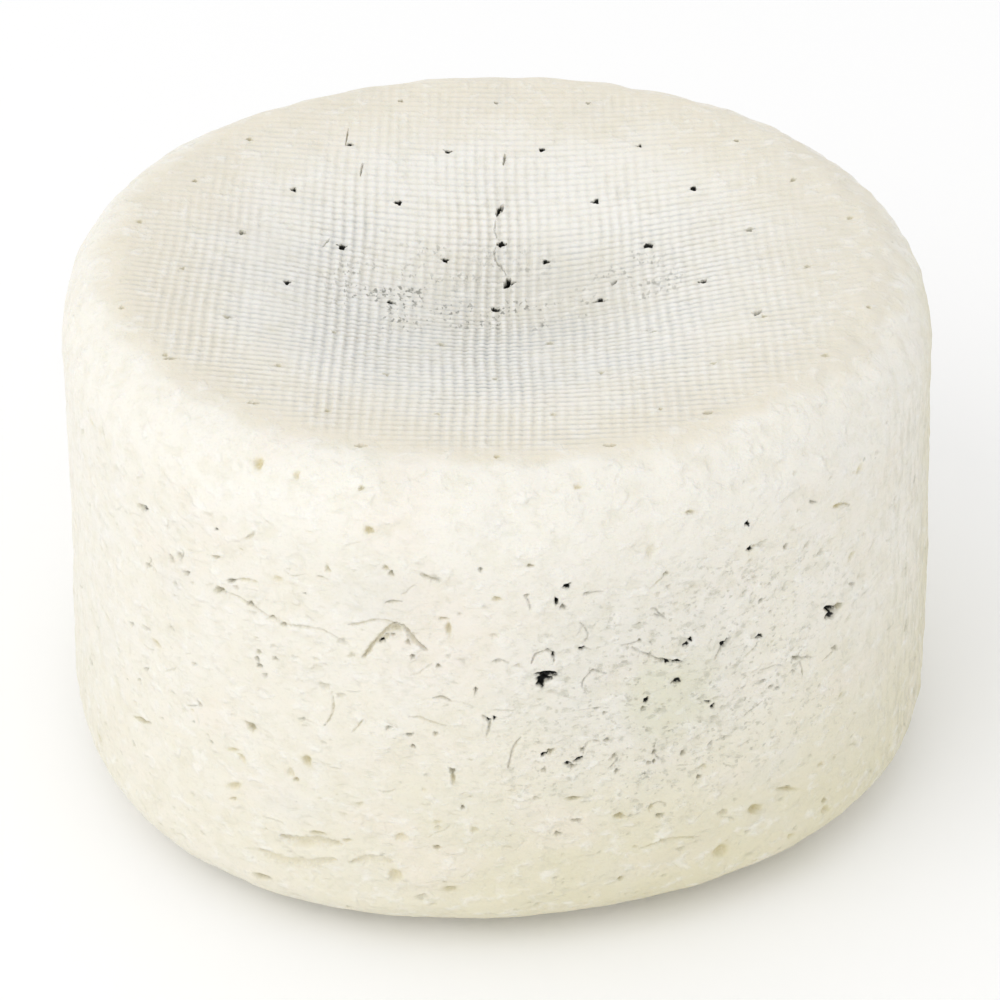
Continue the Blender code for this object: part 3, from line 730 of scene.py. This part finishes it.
def skin_sheets(marks):
    """The whole even skin: points, normals, faces and which sheet each point belongs to."""
    face_steps = (RIB_PITCH / 6, LINE_PITCH / 4)
    base_steps = (RIB_PITCH / 3, LINE_PITCH / 3)
    wall = wall_sheet(marks)
    face = disc_sheet(on_face, face_steps, BORDER_RADIUS, 1, marks, lambda places: places[:, 2] > 60 * MM)
    base = disc_sheet(on_base, base_steps, FLAT_RADIUS, -1, marks, lambda places: places[:, 2] < 1 * MM)
    points = np.concatenate([sheet[0] for sheet in (wall, face, base)])
    normals = np.concatenate([sheet[1] for sheet in (wall, face, base)])
    sheets = np.repeat([0, 1, 2], [len(sheet[0]) for sheet in (wall, face, base)])
    faces, start, borders = [], 0, []
    for sheet in (wall, face, base):
        moved = [[index + start for index in corners] for corners in sheet[2]]
        if start:
            borders.append(border_of(moved))
        faces += moved
        start += len(sheet[0])
    bottom_ring, top_ring = wall[3]
    faces += stitch(points, borders[0], top_ring, True)
    faces += stitch(points, borders[1], bottom_ring, False)
    return points, normals, faces, sheets


def tree_of(points):
    """A search tree over points."""
    tree = kdtree.KDTree(len(points))
    for index, point in enumerate(points):
        tree.insert(point, index)
    tree.balance()
    return tree


def near(tree, point, reach):
    """Indices of the tree's points within reach of a point."""
    return np.array([index for _, index, _ in tree.find_range(point, reach)], dtype=int)


def press_marks(marks, points, ragged):
    """How deep the marks reach at each point, how grey and how ochre they make it, and how far it lies inside a black
    one (0.4 at its edge). The grey and the black are partly the openings' mould and partly painted shade inside them."""
    tree = tree_of(points)
    broken = smooth(-0.05, 0.35, noise(points, 1.9 * MM, SEED + 24))
    depth, grey, ochre, black = np.zeros((4, len(points)))

    def press(found, share, tinted, deep, darkness, tint, rough, fade):
        share = share * (1 + 0.6 * rough * ragged[found])
        lip = 0.07 * min(deep, 0.9 * MM) * np.exp(-(((share - 1.35) / 0.28) ** 2))
        cut = deep * (1 - smooth(0.15, 1.1, share)) - lip
        depth[found] = np.where(np.abs(cut) > np.abs(depth[found]), cut, depth[found])
        closeness = np.clip(1.4 - tinted * (1 + rough * ragged[found]), 0, 1.4) * fade
        soft = smooth(0, 1.2, closeness)
        grey[found] = np.maximum(grey[found], soft * darkness)
        halo = 0.35 * smooth(0, 1, 1 - tinted / 2.1) * fade
        ochre[found] = np.maximum(ochre[found], np.maximum(soft, halo) * tint)
        black[found] = np.maximum(black[found], closeness * float(smooth(0.6, 0.9, darkness)))

    for point, first, second, deep, darkness, tint, reach in marks.spots:
        found = near(tree, point, reach * 2.0)
        if len(found):
            offset = points[found] - point
            across, up = offset @ first, offset @ second
            angle = np.arctan2(up, across)
            phase = point[0] / MM
            uneven = min(1, 1.1 * MM / reach) * (1 - 0.6 * max(0, tint - darkness))
            corners = 1 + uneven * (0.17 * np.cos(3 * angle + 4 * phase) + 0.12 * np.cos(5 * angle + 7 * phase))
            # Painted shadow: a spot's grey and black sit a little towards its upper lip, as if the overhang shaded it
            tinted = np.hypot(across, (up - 0.1) * 1.05) * corners
            press(found, np.hypot(across, up) * corners, tinted, deep, darkness, tint, 0.1 + 0.4 * uneven**2, 1)
    for line, half, deep, darkness, tint in marks.lines:
        found = np.unique(np.concatenate([near(tree, point, half * 2.0) for point in line]))
        if len(found):
            place = points[found]
            best = np.full(len(found), np.inf)
            along, above = np.zeros((2, len(found)))
            for index, (start, end) in enumerate(zip(line, line[1:])):
                stretch = end - start
                share = np.clip((place - start) @ stretch / (stretch @ stretch), 0, 1)
                offset = place - start - share[:, None] * stretch
                gap = np.linalg.norm(offset, axis=1)
                closer = gap < best
                best[closer], along[closer] = gap[closer], (index + share[closer]) / (len(line) - 1)
                above[closer] = offset[closer, 2]
            tapered = half * (0.3 + 0.7 * np.sqrt(np.sin(np.pi * np.clip(along, 0.02, 0.98))))
            side = smooth(-0.15 * MM, 0.15 * MM, above)
            thin = half < 0.7 * MM
            frayed = 1.1 + (1.3 if thin else 0.6) * np.clip(ragged[found] + 0.15, 0, 1)
            fade = 1.0
            if thin:
                fade = np.clip(1.7 * np.sin(np.pi * np.clip(along, 0, 1)) + 0.1, 0, 1) * (1 - 0.6 * broken[found])
            share = best / tapered * frayed
            press(found, share * (0.62 + 0.6 * side), share, deep, darkness, tint, 0.5, fade)
    return depth, grey, ochre, black


def mat_places(points, pressed):
    """Where each point lies on the mat, in pitches along X and Y, and how deep its ribs and its lines pressed."""
    x, y = points[:, 0], points[:, 1]
    flat = points * [1, 1, 0]
    drift = 0.75 * MM * noise(flat, 30 * MM, SEED + 2)
    sway = 0.75 * MM * noise(flat, 34 * MM, SEED + 3)
    jitter = 0.10 * MM * noise(flat, 3.1 * MM, SEED + 4)
    rough = noise(flat, 9 * MM, SEED + 5)
    bands = 0.5 * np.cos(TURN * x / (32 * MM)) + 0.8 * noise(flat, (13 * MM, 45 * MM, 1), SEED + 6)
    middle = 1 - smooth(44 * MM, 86 * MM, np.hypot(x + 2 * MM, y + 15 * MM))
    worn = 0.25 * noise(flat, (4 * MM, 7 * MM, 1), SEED + 26)
    ribs = pressed * np.clip(0.13 + 0.50 * middle + (0.08 + 0.40 * middle) * bands + 0.22 * rough + worn, 0.03, 1.15)
    uneven = 0.75 + 0.40 * noise(flat, 19 * MM, SEED + 18) - 0.2 * rough - worn
    lines = pressed * (1 + 0.45 * middle) * np.clip(uneven, 0.1, 1.2) * (1 - 0.4 * smooth(0, 50 * MM, y))
    deepest = 1 - smooth(12 * MM, 40 * MM, np.hypot(x, y + 32 * MM))
    faded = 1 - 0.6 * smooth(56 * MM, 76 * MM, x)
    ribs *= (1 + 0.25 * deepest) * (1 - 0.15 * smooth(8 * MM, 30 * MM, x)) * faded
    lines *= (1 + 0.60 * deepest) * faded
    return (x + drift + jitter) / RIB_PITCH, (y + sway + jitter) / LINE_PITCH, ribs, lines


def weave_height(u, v, ribs, lines):
    """The pressed weave: broad ribs with narrow grooves between them, cut by shallower lines."""
    groove = (0.5 - 0.5 * np.cos(TURN * u)) ** 2.2
    line = (0.5 - 0.5 * np.cos(TURN * v)) ** 2.2
    return -RIB_DEPTH * ribs * groove - LINE_DEPTH * lines * line


def relief(points, normals, sheets, marks):
    """Moves the even skin into its final shape, and returns it with the values that its material reads."""
    x, y, z = points.T
    angle = np.arctan2(y, x)
    radius = np.hypot(x, y) / (1 + lobes(TOP_LOBES, angle))
    base_radius = np.hypot(x, y) / (1 + lobes(FOOT_LOBES, angle))
    top = sheets == 1
    under = sheets == 2
    upper = (z > HEIGHT - 12 * MM) | top
    past = np.hypot(x - MAT_MIDDLE[0], y - MAT_MIDDLE[1]) - MAT_RADIUS + 1.6 * MM * noise(points, 9 * MM, SEED + 7)
    face_share = np.where(upper, 1 - smooth(-1.8 * MM, 1.4 * MM, past), 0)
    chipped = (1.0 + 3.0 * smooth(10 * MM, 80 * MM, x)) * MM * noise(points, 4.5 * MM, SEED + 25)
    tint_past = past + 2 * MM * noise(points, 15 * MM, SEED + 19) + chipped
    face_tint = np.where(upper, 1 - smooth(-4 * MM, 2.5 * MM, tint_past), 0)
    base_share = np.where(under, 1 - smooth(FLAT_RADIUS - 9 * MM, FLAT_RADIUS - 2 * MM, base_radius), 0)
    inset = np.where(upper, 1 - smooth(-11 * MM, -1 * MM, past), 0)
    u, v, ribs, lines = mat_places(points, np.maximum(inset, 0.8 * base_share))
    waves = sum(np.sin(a * x + b * y + c * z + d) for a, b, c, d in SWELL_WAVES)
    lifted = smooth(0, 12 * MM, z)
    wall_share = 1 - face_share
    foot = 1 - smooth(18 * MM, 60 * MM, z)
    height = SWELL * waves / 2 * np.minimum(1, z / EDGE_HEIGHT) ** 2
    height += lifted * (0.30 - 0.18 * face_share) * MM * noise(points, 21 * MM, SEED + 8)
    height += lifted * (0.20 - 0.10 * face_share) * MM * noise(points, 9 * MM, SEED + 9)
    height += lifted * wall_share * (0.12 + 0.40 * foot) * MM * noise(points, (15 * MM, 15 * MM, 6 * MM), SEED + 10)
    height += lifted * wall_share * (0.17 + 0.04 * foot) * MM * noise(points, (4.6 * MM, 4.6 * MM, 3.0 * MM), SEED + 12)
    height += lifted * (0.075 - 0.045 * face_share) * MM * noise(points, (2.3 * MM, 2.3 * MM, 1.5 * MM), SEED + 13)
    height += 0.45 * MM * np.maximum(face_share, upper) * smooth(74 * MM, 86 * MM, radius) * noise(points, 11 * MM, SEED + 20)
    height -= 0.10 * chipped * np.maximum(face_share, upper) * smooth(70 * MM, 82 * MM, radius)
    height -= MAT_STEP * face_share
    height += weave_height(u, v, ribs, lines)
    ragged = noise(points, 1.0 * MM, SEED + 14) + 0.5 * noise(points, 0.45 * MM, SEED + 15)
    depth, grey, ochre, black = press_marks(marks, points, ragged)
    height -= depth
    height = np.where(under, np.minimum(0, height), height)
    moved = points + normals * height[:, None]
    moved[:, 2] = np.maximum(moved[:, 2], 0)
    blotch = noise(points, 17 * MM, SEED + 16) + 0.5 * noise(points, 7 * MM, SEED + 17)
    mould = mould_share(points, radius, np.maximum(face_share, base_share), blotch)
    beige = np.maximum(face_tint, 0.8 * base_share) * smooth(0.40, 0.95, radius / (95 * MM) + 0.15 * blotch)
    # Darker and yellower towards the foot. It is weakened on the left side and made full in a band at the right side,
    # which is painted shade
    low = (1 - np.maximum(face_tint, base_share)) * (1 - smooth(4 * MM, 78 * MM, z + 7 * MM * blotch))
    low *= 0.25 + 0.75 * smooth(-75 * MM, 35 * MM, x)
    low = np.maximum(low, wall_share * smooth(89 * MM, 99 * MM, x))
    olive = wall_share * patch_share(points, -69, 64, 11, 13, blotch)
    # Painted light: the wall is painted paler towards the shoulder and on its left side, where the light falls most
    shoulder = (1 - face_tint) * smooth(92 * MM, 108 * MM, z + 4 * MM * blotch)
    shoulder = np.maximum(shoulder, 0.6 * wall_share * smooth(60 * MM, 96 * MM, -x) * smooth(10 * MM, 40 * MM, z))
    fleck = np.zeros_like(x)
    for middle_x, middle_y, wide, tall, share in FLECKS:
        out = np.hypot((x - middle_x * MM) / (wide * MM), (y - middle_y * MM) / (tall * MM))
        fleck = np.maximum(fleck, share * face_share * (1 - smooth(0.5, 1.2, out + 0.3 * blotch)))
    blush = smooth(0.1, 0.8, noise(points, (20 * MM, 20 * MM, 12 * MM), SEED + 21))
    blush = np.maximum(blush, 0.9 * patch_share(points, -97, 84, 13, 16, blotch))
    stroke = wall_share * (0.22 + 0.85 * veined_share(points)) * (1 - 0.5 * smooth(92 * MM, 106 * MM, z))
    # Painted shade: the wall's left and right sides get darker streaks, the right side most, as if turned from the
    # light
    limb_shade_streaks = wall_share * smooth(70 * MM, 98 * MM, np.abs(x)) * (1 - smooth(96 * MM, 112 * MM, z))
    limb_shade_streaks *= 0.25 + 0.75 * smooth(-20 * MM, 20 * MM, x)
    # Painted shade: the dip's middle and the face's right side are painted greyer
    face_painted_shade = face_share * (1 - smooth(10 * MM, 38 * MM, np.hypot(x - 6 * MM, (y + 2 * MM) * 1.2) + 6 * MM * blotch))
    clear = face_share * (1 - smooth(46 * MM, 76 * MM, np.hypot(x, y) + 9 * MM * blotch)) * (1 - face_painted_shade)
    face_painted_shade = np.maximum(face_painted_shade, 0.35 * face_share * smooth(50 * MM, 75 * MM, x))
    return moved, {
        "mat": np.stack([u, v, ribs], 1),
        "opening": np.stack([grey, ochre, black], 1),
        "tint": np.stack([mould, beige, low], 1),
        "wash": np.stack([lines, olive, shoulder], 1),
        "fleck": np.stack([fleck, blush, stroke], 1),
        "side": np.stack([limb_shade_streaks, 1 - np.maximum(face_tint, base_share), face_painted_shade], 1),
        "clear": np.stack([clear, clear, clear], 1),
    }


def veined_share(points):
    """Where the wall is most broken up: right of the front's middle, and in patches out of sight."""
    blotch = noise(points, 14 * MM, SEED + 22)
    front = patch_share(points, -66, 62, 42, 34, blotch)
    hidden = smooth(-20 * MM, 20 * MM, points[:, 1])
    return np.maximum(front, hidden * smooth(-0.1, 0.6, noise(points, 30 * MM, SEED + 23)))


def patch_share(points, angle, height, wide, tall, blotch):
    """A soft-edged patch of the wall, by its middle in degrees and millimetres and its half sizes in millimetres."""
    middle, along, upward = wall_frame(angle, height * MM)
    offset = points - middle
    share = np.hypot(offset @ along / (wide * MM), offset @ upward / (tall * MM))
    return np.where(offset @ np.cross(along, upward) > -30 * MM, 1 - smooth(0.45, 1.25, share + 0.35 * blotch), 0)


def mould_share(points, radius, face_share, blotch):
    """Where the blue-grey bloom lies: in the middle of the faces and in patches of the wall."""
    middle = 1 - smooth(12 * MM, 66 * MM, np.hypot(points[:, 0] + 8 * MM, points[:, 1] + 18 * MM))
    ring = np.abs(np.hypot(points[:, 0], points[:, 1] - 12 * MM) - 46 * MM) / (24 * MM)
    ring = (1 - smooth(0.2, 1.2, ring + 0.3 * blotch)) * (1 - smooth(8 * MM, 36 * MM, points[:, 1]))
    ring *= 1 - 0.5 * smooth(10 * MM, 50 * MM, points[:, 0])
    face = face_share * np.clip(0.31 * middle + 0.38 * ring + 0.30 * blotch, 0, 1)
    wall = 0.22 * smooth(0.30, 0.75, blotch)
    wall = np.maximum(wall, 0.40 * patch_share(points, -72, 68, 26, 26, blotch))
    wall = np.maximum(wall, 0.35 * patch_share(points, -103, 91, 10, 8, blotch))
    return np.where(face_share > 0.5, face, (1 - face_share) * wall)


def skin_mesh():
    """The finished skin as a mesh with the values that its material reads."""
    random = np.random.RandomState(SEED)
    marks = Marks()
    named_marks(marks, random)
    scattered_marks(marks, random)
    points, normals, faces, sheets = skin_sheets(marks)
    moved, values = relief(points, normals, sheets, marks)
    mesh = bpy.data.meshes.new("cheese_skin")
    mesh.from_pydata(moved, [], faces)
    for name, vectors in values.items():
        layer = mesh.attributes.new(name, "FLOAT_VECTOR", "POINT")
        layer.data.foreach_set("vector", vectors.astype(np.float32).ravel())
    mesh.shade_smooth()
    mesh.update()
    return mesh


class Graph:
    """Short ways to add and join a material's nodes."""

    def __init__(self, material):
        material.use_nodes = True
        self.tree = material.node_tree
        self.shader = self.tree.nodes["Principled BSDF"]

    def feed(self, socket, value):
        """Joins a socket to another node's output, or sets its number or colour."""
        if isinstance(value, bpy.types.NodeSocket):
            self.tree.links.new(value, socket)
        else:
            socket.default_value = value

    def add(self, kind, settings=None, **inputs):
        node = self.tree.nodes.new(kind)
        for name, value in (settings or {}).items():
            setattr(node, name, value)
        for name, value in inputs.items():
            self.feed(node.inputs[name.replace("_", " ")], value)
        return node

    def math(self, operation, first, second=0.0, third=0.0):
        node = self.tree.nodes.new("ShaderNodeMath")
        node.operation = operation
        for socket, value in zip(node.inputs, (first, second, third)):
            self.feed(socket, value)
        return node.outputs[0]

    def step(self, value, low, high, start=0.0, end=1.0):
        """A soft step that goes from start to end as value goes from low to high."""
        node = self.add("ShaderNodeMapRange", {"interpolation_type": "SMOOTHSTEP"})
        for socket, given in zip(node.inputs, (value, low, high, start, end)):
            self.feed(socket, given)
        return node.outputs[0]

    def mix(self, share, first, second, blend="MIX"):
        node = self.add("ShaderNodeMix", {"data_type": "RGBA", "blend_type": blend})
        self.feed(node.inputs[0], share)
        self.feed(node.inputs[6], first)
        self.feed(node.inputs[7], second)
        return node.outputs[2]

    def attribute(self, name):
        """The three values of a vector that the mesh carries."""
        given = self.add("ShaderNodeAttribute", {"attribute_name": name})
        parts = self.add("ShaderNodeSeparateXYZ", Vector=given.outputs["Vector"])
        return parts.outputs[:3]

    def grain(self, cell, detail=2.0, squeeze=(1, 1, 1), rough=0.5):
        """Noise from 0 to 1 whose cells measure cell metres, squeezed along an axis by its factor."""
        place = self.add("ShaderNodeTexCoord").outputs["Object"]
        scaled = self.add("ShaderNodeMapping", Vector=place, Scale=squeeze)
        noise_node = self.add(
            "ShaderNodeTexNoise", Vector=scaled.outputs[0], Scale=1 / cell, Detail=detail, Roughness=rough
        )
        return noise_node.outputs["Fac"]


def rind_material():
    """The pale rind: creamy wall, beige printed face, grey bloom, ochre and black openings, with painted shade in the
    openings, the dip and the wall's sides, and painted highlights on the weave's crests, the shoulder and the bumps.
    """
    material = bpy.data.materials.new("cheese_rind")
    graph = Graph(material)
    u, v, ribs = graph.attribute("mat")
    grey, ochre, black = graph.attribute("opening")
    mould, beige, low = graph.attribute("tint")
    lines, olive, shoulder = graph.attribute("wash")
    limb_shade_streaks, wall, face_painted_shade = graph.attribute("side")
    clear = graph.attribute("clear")[0]
    fleck, blush, stroke = graph.attribute("fleck")

    across = graph.math("COSINE", graph.math("MULTIPLY", u, TURN))
    along = graph.math("COSINE", graph.math("MULTIPLY", v, TURN))
    groove = graph.math("POWER", graph.math("MULTIPLY_ADD", across, -0.5, 0.5), 2.2)
    groove = graph.math("MULTIPLY", groove, ribs)
    line = graph.math("POWER", graph.math("MULTIPLY_ADD", along, -0.5, 0.5), 2.4)
    line = graph.math("MULTIPLY", line, lines)
    # Painted highlight: where the weave's crests are painted whiter
    crest = graph.math("MULTIPLY", graph.step(across, 0.2, 1.0), ribs)

    cloud = graph.grain(11 * MM, 3)
    fine = graph.grain(1.4 * MM, 4)
    speck = graph.grain(0.55 * MM, 2)
    colour = graph.mix(graph.step(cloud, 0.35, 0.65), (0.84, 0.805, 0.705, 1), (0.855, 0.825, 0.745, 1))
    # Painted light: the shoulder band and the wall's left side are painted paler
    colour = graph.mix(graph.math("MULTIPLY", shoulder, 0.8), colour, (0.885, 0.86, 0.785, 1))
    # Darker and yellower towards the foot, with painted shade at the right side
    colour = graph.mix(low, colour, (0.74, 0.695, 0.51, 1))
    colour = graph.mix(graph.math("MULTIPLY", blush, 0.4), colour, (0.865, 0.795, 0.705, 1))
    colour = graph.mix(graph.math("MULTIPLY", olive, 0.7), colour, (0.74, 0.72, 0.53, 1))
    colour = graph.mix(graph.math("MULTIPLY", beige, 0.85), colour, (0.81, 0.755, 0.63, 1))
    colour = graph.mix(graph.math("MULTIPLY", clear, 0.45), colour, (0.905, 0.90, 0.87, 1))
    # Painted shade: a grey-beige tint in the dip's middle and on the face's right side
    colour = graph.mix(graph.math("MULTIPLY", face_painted_shade, 0.85), colour, (0.72, 0.695, 0.615, 1))
    grown = graph.math("MULTIPLY_ADD", groove, 0.35, graph.step(fine, 0.25, 0.7, 0.40, 0.75))
    colour = graph.mix(graph.math("MULTIPLY", mould, grown), colour, (0.695, 0.695, 0.672, 1))

    # Soft smudges and streaks of the wall, from large to small. Its raised bumps are painted paler as painted
    # highlight, and its sunken mottles darker, partly their own yellowish tone and partly painted shade
    pale = graph.step(graph.grain(3.8 * MM, 3, (1, 1, 1.3)), 0.50, 0.72)
    colour = graph.mix(graph.math("MULTIPLY", pale, 0.50), colour, (0.91, 0.895, 0.845, 1))
    mottled = graph.step(graph.grain(4.6 * MM, 3, (1, 1, 1.2)), 0.46, 0.74)
    colour = graph.mix(graph.math("MULTIPLY", mottled, 0.28), colour, (0.73, 0.69, 0.54, 1))
    seams = graph.math("ABSOLUTE", graph.math("SUBTRACT", graph.grain(3.6 * MM, 0, (1, 1, 1.5)), 0.5))
    seams = graph.math("MULTIPLY", graph.step(seams, 0.0, 0.17, 1.0, 0.0), wall)
    seams = graph.math("MULTIPLY", seams, graph.step(graph.grain(5 * MM, 3), 0.44, 0.64))
    colour = graph.mix(graph.math("MULTIPLY", seams, 0.16), colour, (0.70, 0.67, 0.54, 1))
    clouded = graph.math("MULTIPLY", graph.step(graph.grain(5.5 * MM, 4, (1, 1, 1.3), 0.62), 0.50, 0.72), stroke)
    colour = graph.mix(graph.math("MULTIPLY", clouded, 0.26), colour, (0.62, 0.61, 0.49, 1))
    dashes = graph.math("MULTIPLY", graph.step(graph.grain(2.6 * MM, 3, (1, 1, 1.4)), 0.56, 0.72), stroke)
    colour = graph.mix(graph.math("MULTIPLY", dashes, 0.50), colour, (0.50, 0.49, 0.39, 1))
    strokes = graph.math("MULTIPLY", graph.step(graph.grain(1.4 * MM, 2, (1, 1, 1.25)), 0.58, 0.74), stroke)
    colour = graph.mix(graph.math("MULTIPLY", strokes, 0.50), colour, (0.42, 0.41, 0.32, 1))
    # Painted shade with streaks: darker streaks towards the wall's sides, with their bumps
    streaked_limb_shade = graph.math("MULTIPLY", graph.step(graph.grain(1.7 * MM, 3, (1, 1, 0.3)), 0.45, 0.70), limb_shade_streaks)
    colour = graph.mix(graph.math("MULTIPLY", streaked_limb_shade, 0.48), colour, (0.58, 0.56, 0.45, 1))
    pepper = graph.step(speck, 0.50, 0.75)
    colour = graph.mix(graph.math("MULTIPLY", pepper, 0.10), colour, (0.52, 0.51, 0.44, 1))

    # Painted highlight on the weave's crests
    colour = graph.mix(graph.math("MULTIPLY", crest, 0.45), colour, (0.92, 0.91, 0.88, 1))
    pressed = graph.math("MULTIPLY_ADD", line, 1.15, graph.math("MULTIPLY", groove, 0.95))
    shade = graph.math("MULTIPLY", pressed, graph.step(fine, 0.25, 0.75, 0.16, 0.41))
    shadow = graph.mix(graph.step(graph.grain(14 * MM, 2), 0.40, 0.60), (0.52, 0.50, 0.44, 1), (0.475, 0.485, 0.475, 1))
    colour = graph.mix(shade, colour, shadow)

    dots = graph.step(graph.grain(1.2 * MM, 2, (1.2, 0.65, 1)), 0.54, 0.66)
    dots = graph.math("MULTIPLY", dots, graph.math("MULTIPLY", fleck, graph.step(graph.grain(6 * MM, 2), 0.42, 0.58)))
    colour = graph.mix(graph.math("MULTIPLY", dots, 0.8), colour, (0.20, 0.20, 0.17, 1))

    torn = graph.math("MULTIPLY_ADD", graph.grain(0.5 * MM, 2), 1.6, 0.2)
    stained = graph.math("MULTIPLY", graph.math("MULTIPLY", ochre, torn), 0.82)
    colour = graph.mix(stained, colour, (0.65, 0.57, 0.30, 1))
    # Openings: grey-olive mould deepened with painted shade, and a black throat that is partly dark mould and partly
    # painted shade
    shaded = graph.math("MULTIPLY", graph.math("MULTIPLY", grey, torn), 0.85)
    colour = graph.mix(shaded, colour, (0.21, 0.21, 0.15, 1))
    black_mould_and_shade = graph.step(graph.math("MULTIPLY_ADD", torn, 0.3, black), 0.70, 0.95)
    colour = graph.mix(black_mould_and_shade, colour, (0.010, 0.011, 0.009, 1))
    graph.feed(graph.shader.inputs["Base Color"], colour)

    rough = graph.step(fine, 0.2, 0.8, 0.46, 0.66)
    graph.feed(graph.shader.inputs["Roughness"], rough)
    graph.feed(graph.shader.inputs["Subsurface Weight"], 0.12)
    graph.feed(graph.shader.inputs["Subsurface Radius"], (1.0, 0.78, 0.5))
    graph.feed(graph.shader.inputs["Subsurface Scale"], 1.6 * MM)
    graph.feed(graph.shader.inputs["Specular IOR Level"], 0.4)

    height = graph.math("MULTIPLY", graph.grain(0.9 * MM, 4, (1, 1, 1.7), 0.6), 0.16)
    height = graph.math("MULTIPLY_ADD", pale, 0.25, height)
    height = graph.math("MULTIPLY_ADD", mottled, -0.20, height)
    height = graph.math("MULTIPLY_ADD", seams, -0.20, height)
    height = graph.math("MULTIPLY_ADD", streaked_limb_shade, -0.35, height)
    height = graph.math("MULTIPLY_ADD", strokes, -0.14, height)
    height = graph.math("MULTIPLY_ADD", dashes, -0.20, height)
    height = graph.math("MULTIPLY_ADD", clouded, -0.20, height)
    height = graph.math("MULTIPLY_ADD", pressed, -0.06, height)
    bump = graph.add("ShaderNodeBump", Strength=0.8, Distance=1 * MM, Height=height)
    graph.feed(graph.shader.inputs["Normal"], bump.outputs[0])
    return material


def add_wheel():
    """Adds the wheel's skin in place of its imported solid."""
    skin = bpy.data.objects.new("cheese_skin", skin_mesh())
    bpy.context.scene.collection.objects.link(skin)
    skin.data.materials.append(rind_material())
    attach(skin, "root")
    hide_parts("cheese_wheel")


def add_floor():
    """A plain, nearly white floor."""
    mesh = bpy.data.meshes.new("floor")
    side = 6.0
    mesh.from_pydata([(-side, -side, 0), (side, -side, 0), (side, side, 0), (-side, side, 0)], [], [(0, 1, 2, 3)])
    floor = bpy.data.objects.new("floor", mesh)
    bpy.context.scene.collection.objects.link(floor)
    floor.location.z = -0.1 * MM
    material = bpy.data.materials.new("floor")
    graph = Graph(material)
    graph.feed(graph.shader.inputs["Base Color"], (0.98, 0.98, 0.98, 1))
    graph.feed(graph.shader.inputs["Roughness"], 0.9)
    graph.feed(graph.shader.inputs["Specular IOR Level"], 0.1)
    mesh.materials.append(material)


def add_light(name, place, size, power, tint=(1, 1, 1)):
    """A square soft light that faces the wheel."""
    light = bpy.data.lights.new(name, "AREA")
    light.size = size
    light.energy = power
    light.color = tint
    lamp = bpy.data.objects.new(name, light)
    bpy.context.scene.collection.objects.link(lamp)
    lamp.location = place
    lamp.rotation_euler = (Vector((0, 0, 0.06)) - lamp.location).to_track_quat("-Z", "Y").to_euler()


def add_world():
    """A nearly white surround that is a little darker towards the right."""
    world = bpy.data.worlds.new("studio")
    world.use_nodes = True
    tree = world.node_tree
    place = tree.nodes.new("ShaderNodeTexCoord")
    parts = tree.nodes.new("ShaderNodeSeparateXYZ")
    tree.links.new(place.outputs["Generated"], parts.inputs[0])
    fall = tree.nodes.new("ShaderNodeMapRange")
    fall.interpolation_type = "SMOOTHSTEP"
    for socket, value in zip(list(fall.inputs)[1:5], (0.15, 1.0, 0.94, 0.80)):
        socket.default_value = value
    tree.links.new(parts.outputs["X"], fall.inputs[0])
    tree.links.new(fall.outputs[0], tree.nodes["Background"].inputs["Strength"])
    tree.nodes["Background"].inputs["Color"].default_value = (1, 1, 1, 1)
    bpy.context.scene.world = world


def add_camera():
    """The camera, above and in front of the wheel."""
    data = bpy.data.cameras.new("camera")
    data.sensor_width = 36
    data.lens = 113.3
    data.clip_start, data.clip_end = 0.05, 50
    camera = bpy.data.objects.new("camera", data)
    bpy.context.scene.collection.objects.link(camera)
    height = math.radians(33.5)
    camera.location = (0, -0.72 * math.cos(height), 0.06 + 0.72 * math.sin(height))
    aim = Vector((0.0015, 0, 0.0501))
    camera.rotation_euler = (aim - camera.location).to_track_quat("-Z", "Y").to_euler()
    bpy.context.scene.camera = camera


def corners(box):
    """A box's two corners as plain lists."""
    return [list(corner_point) for corner_point in box]


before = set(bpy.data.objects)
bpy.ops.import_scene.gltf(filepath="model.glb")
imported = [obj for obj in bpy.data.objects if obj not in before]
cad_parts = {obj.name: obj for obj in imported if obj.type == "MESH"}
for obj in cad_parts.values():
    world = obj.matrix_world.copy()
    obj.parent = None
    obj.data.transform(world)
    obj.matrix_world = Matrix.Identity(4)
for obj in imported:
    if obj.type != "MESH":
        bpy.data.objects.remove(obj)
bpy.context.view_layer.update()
add_wheel()
add_floor()
add_light("key", (-1.3, -1.0, 1.5), 1.6, 9.8)
add_light("fill", (0.2, -1.6, 0.5), 1.6, 1)
add_world()
add_camera()
scene = bpy.context.scene
scene.view_settings.view_transform = "Standard"
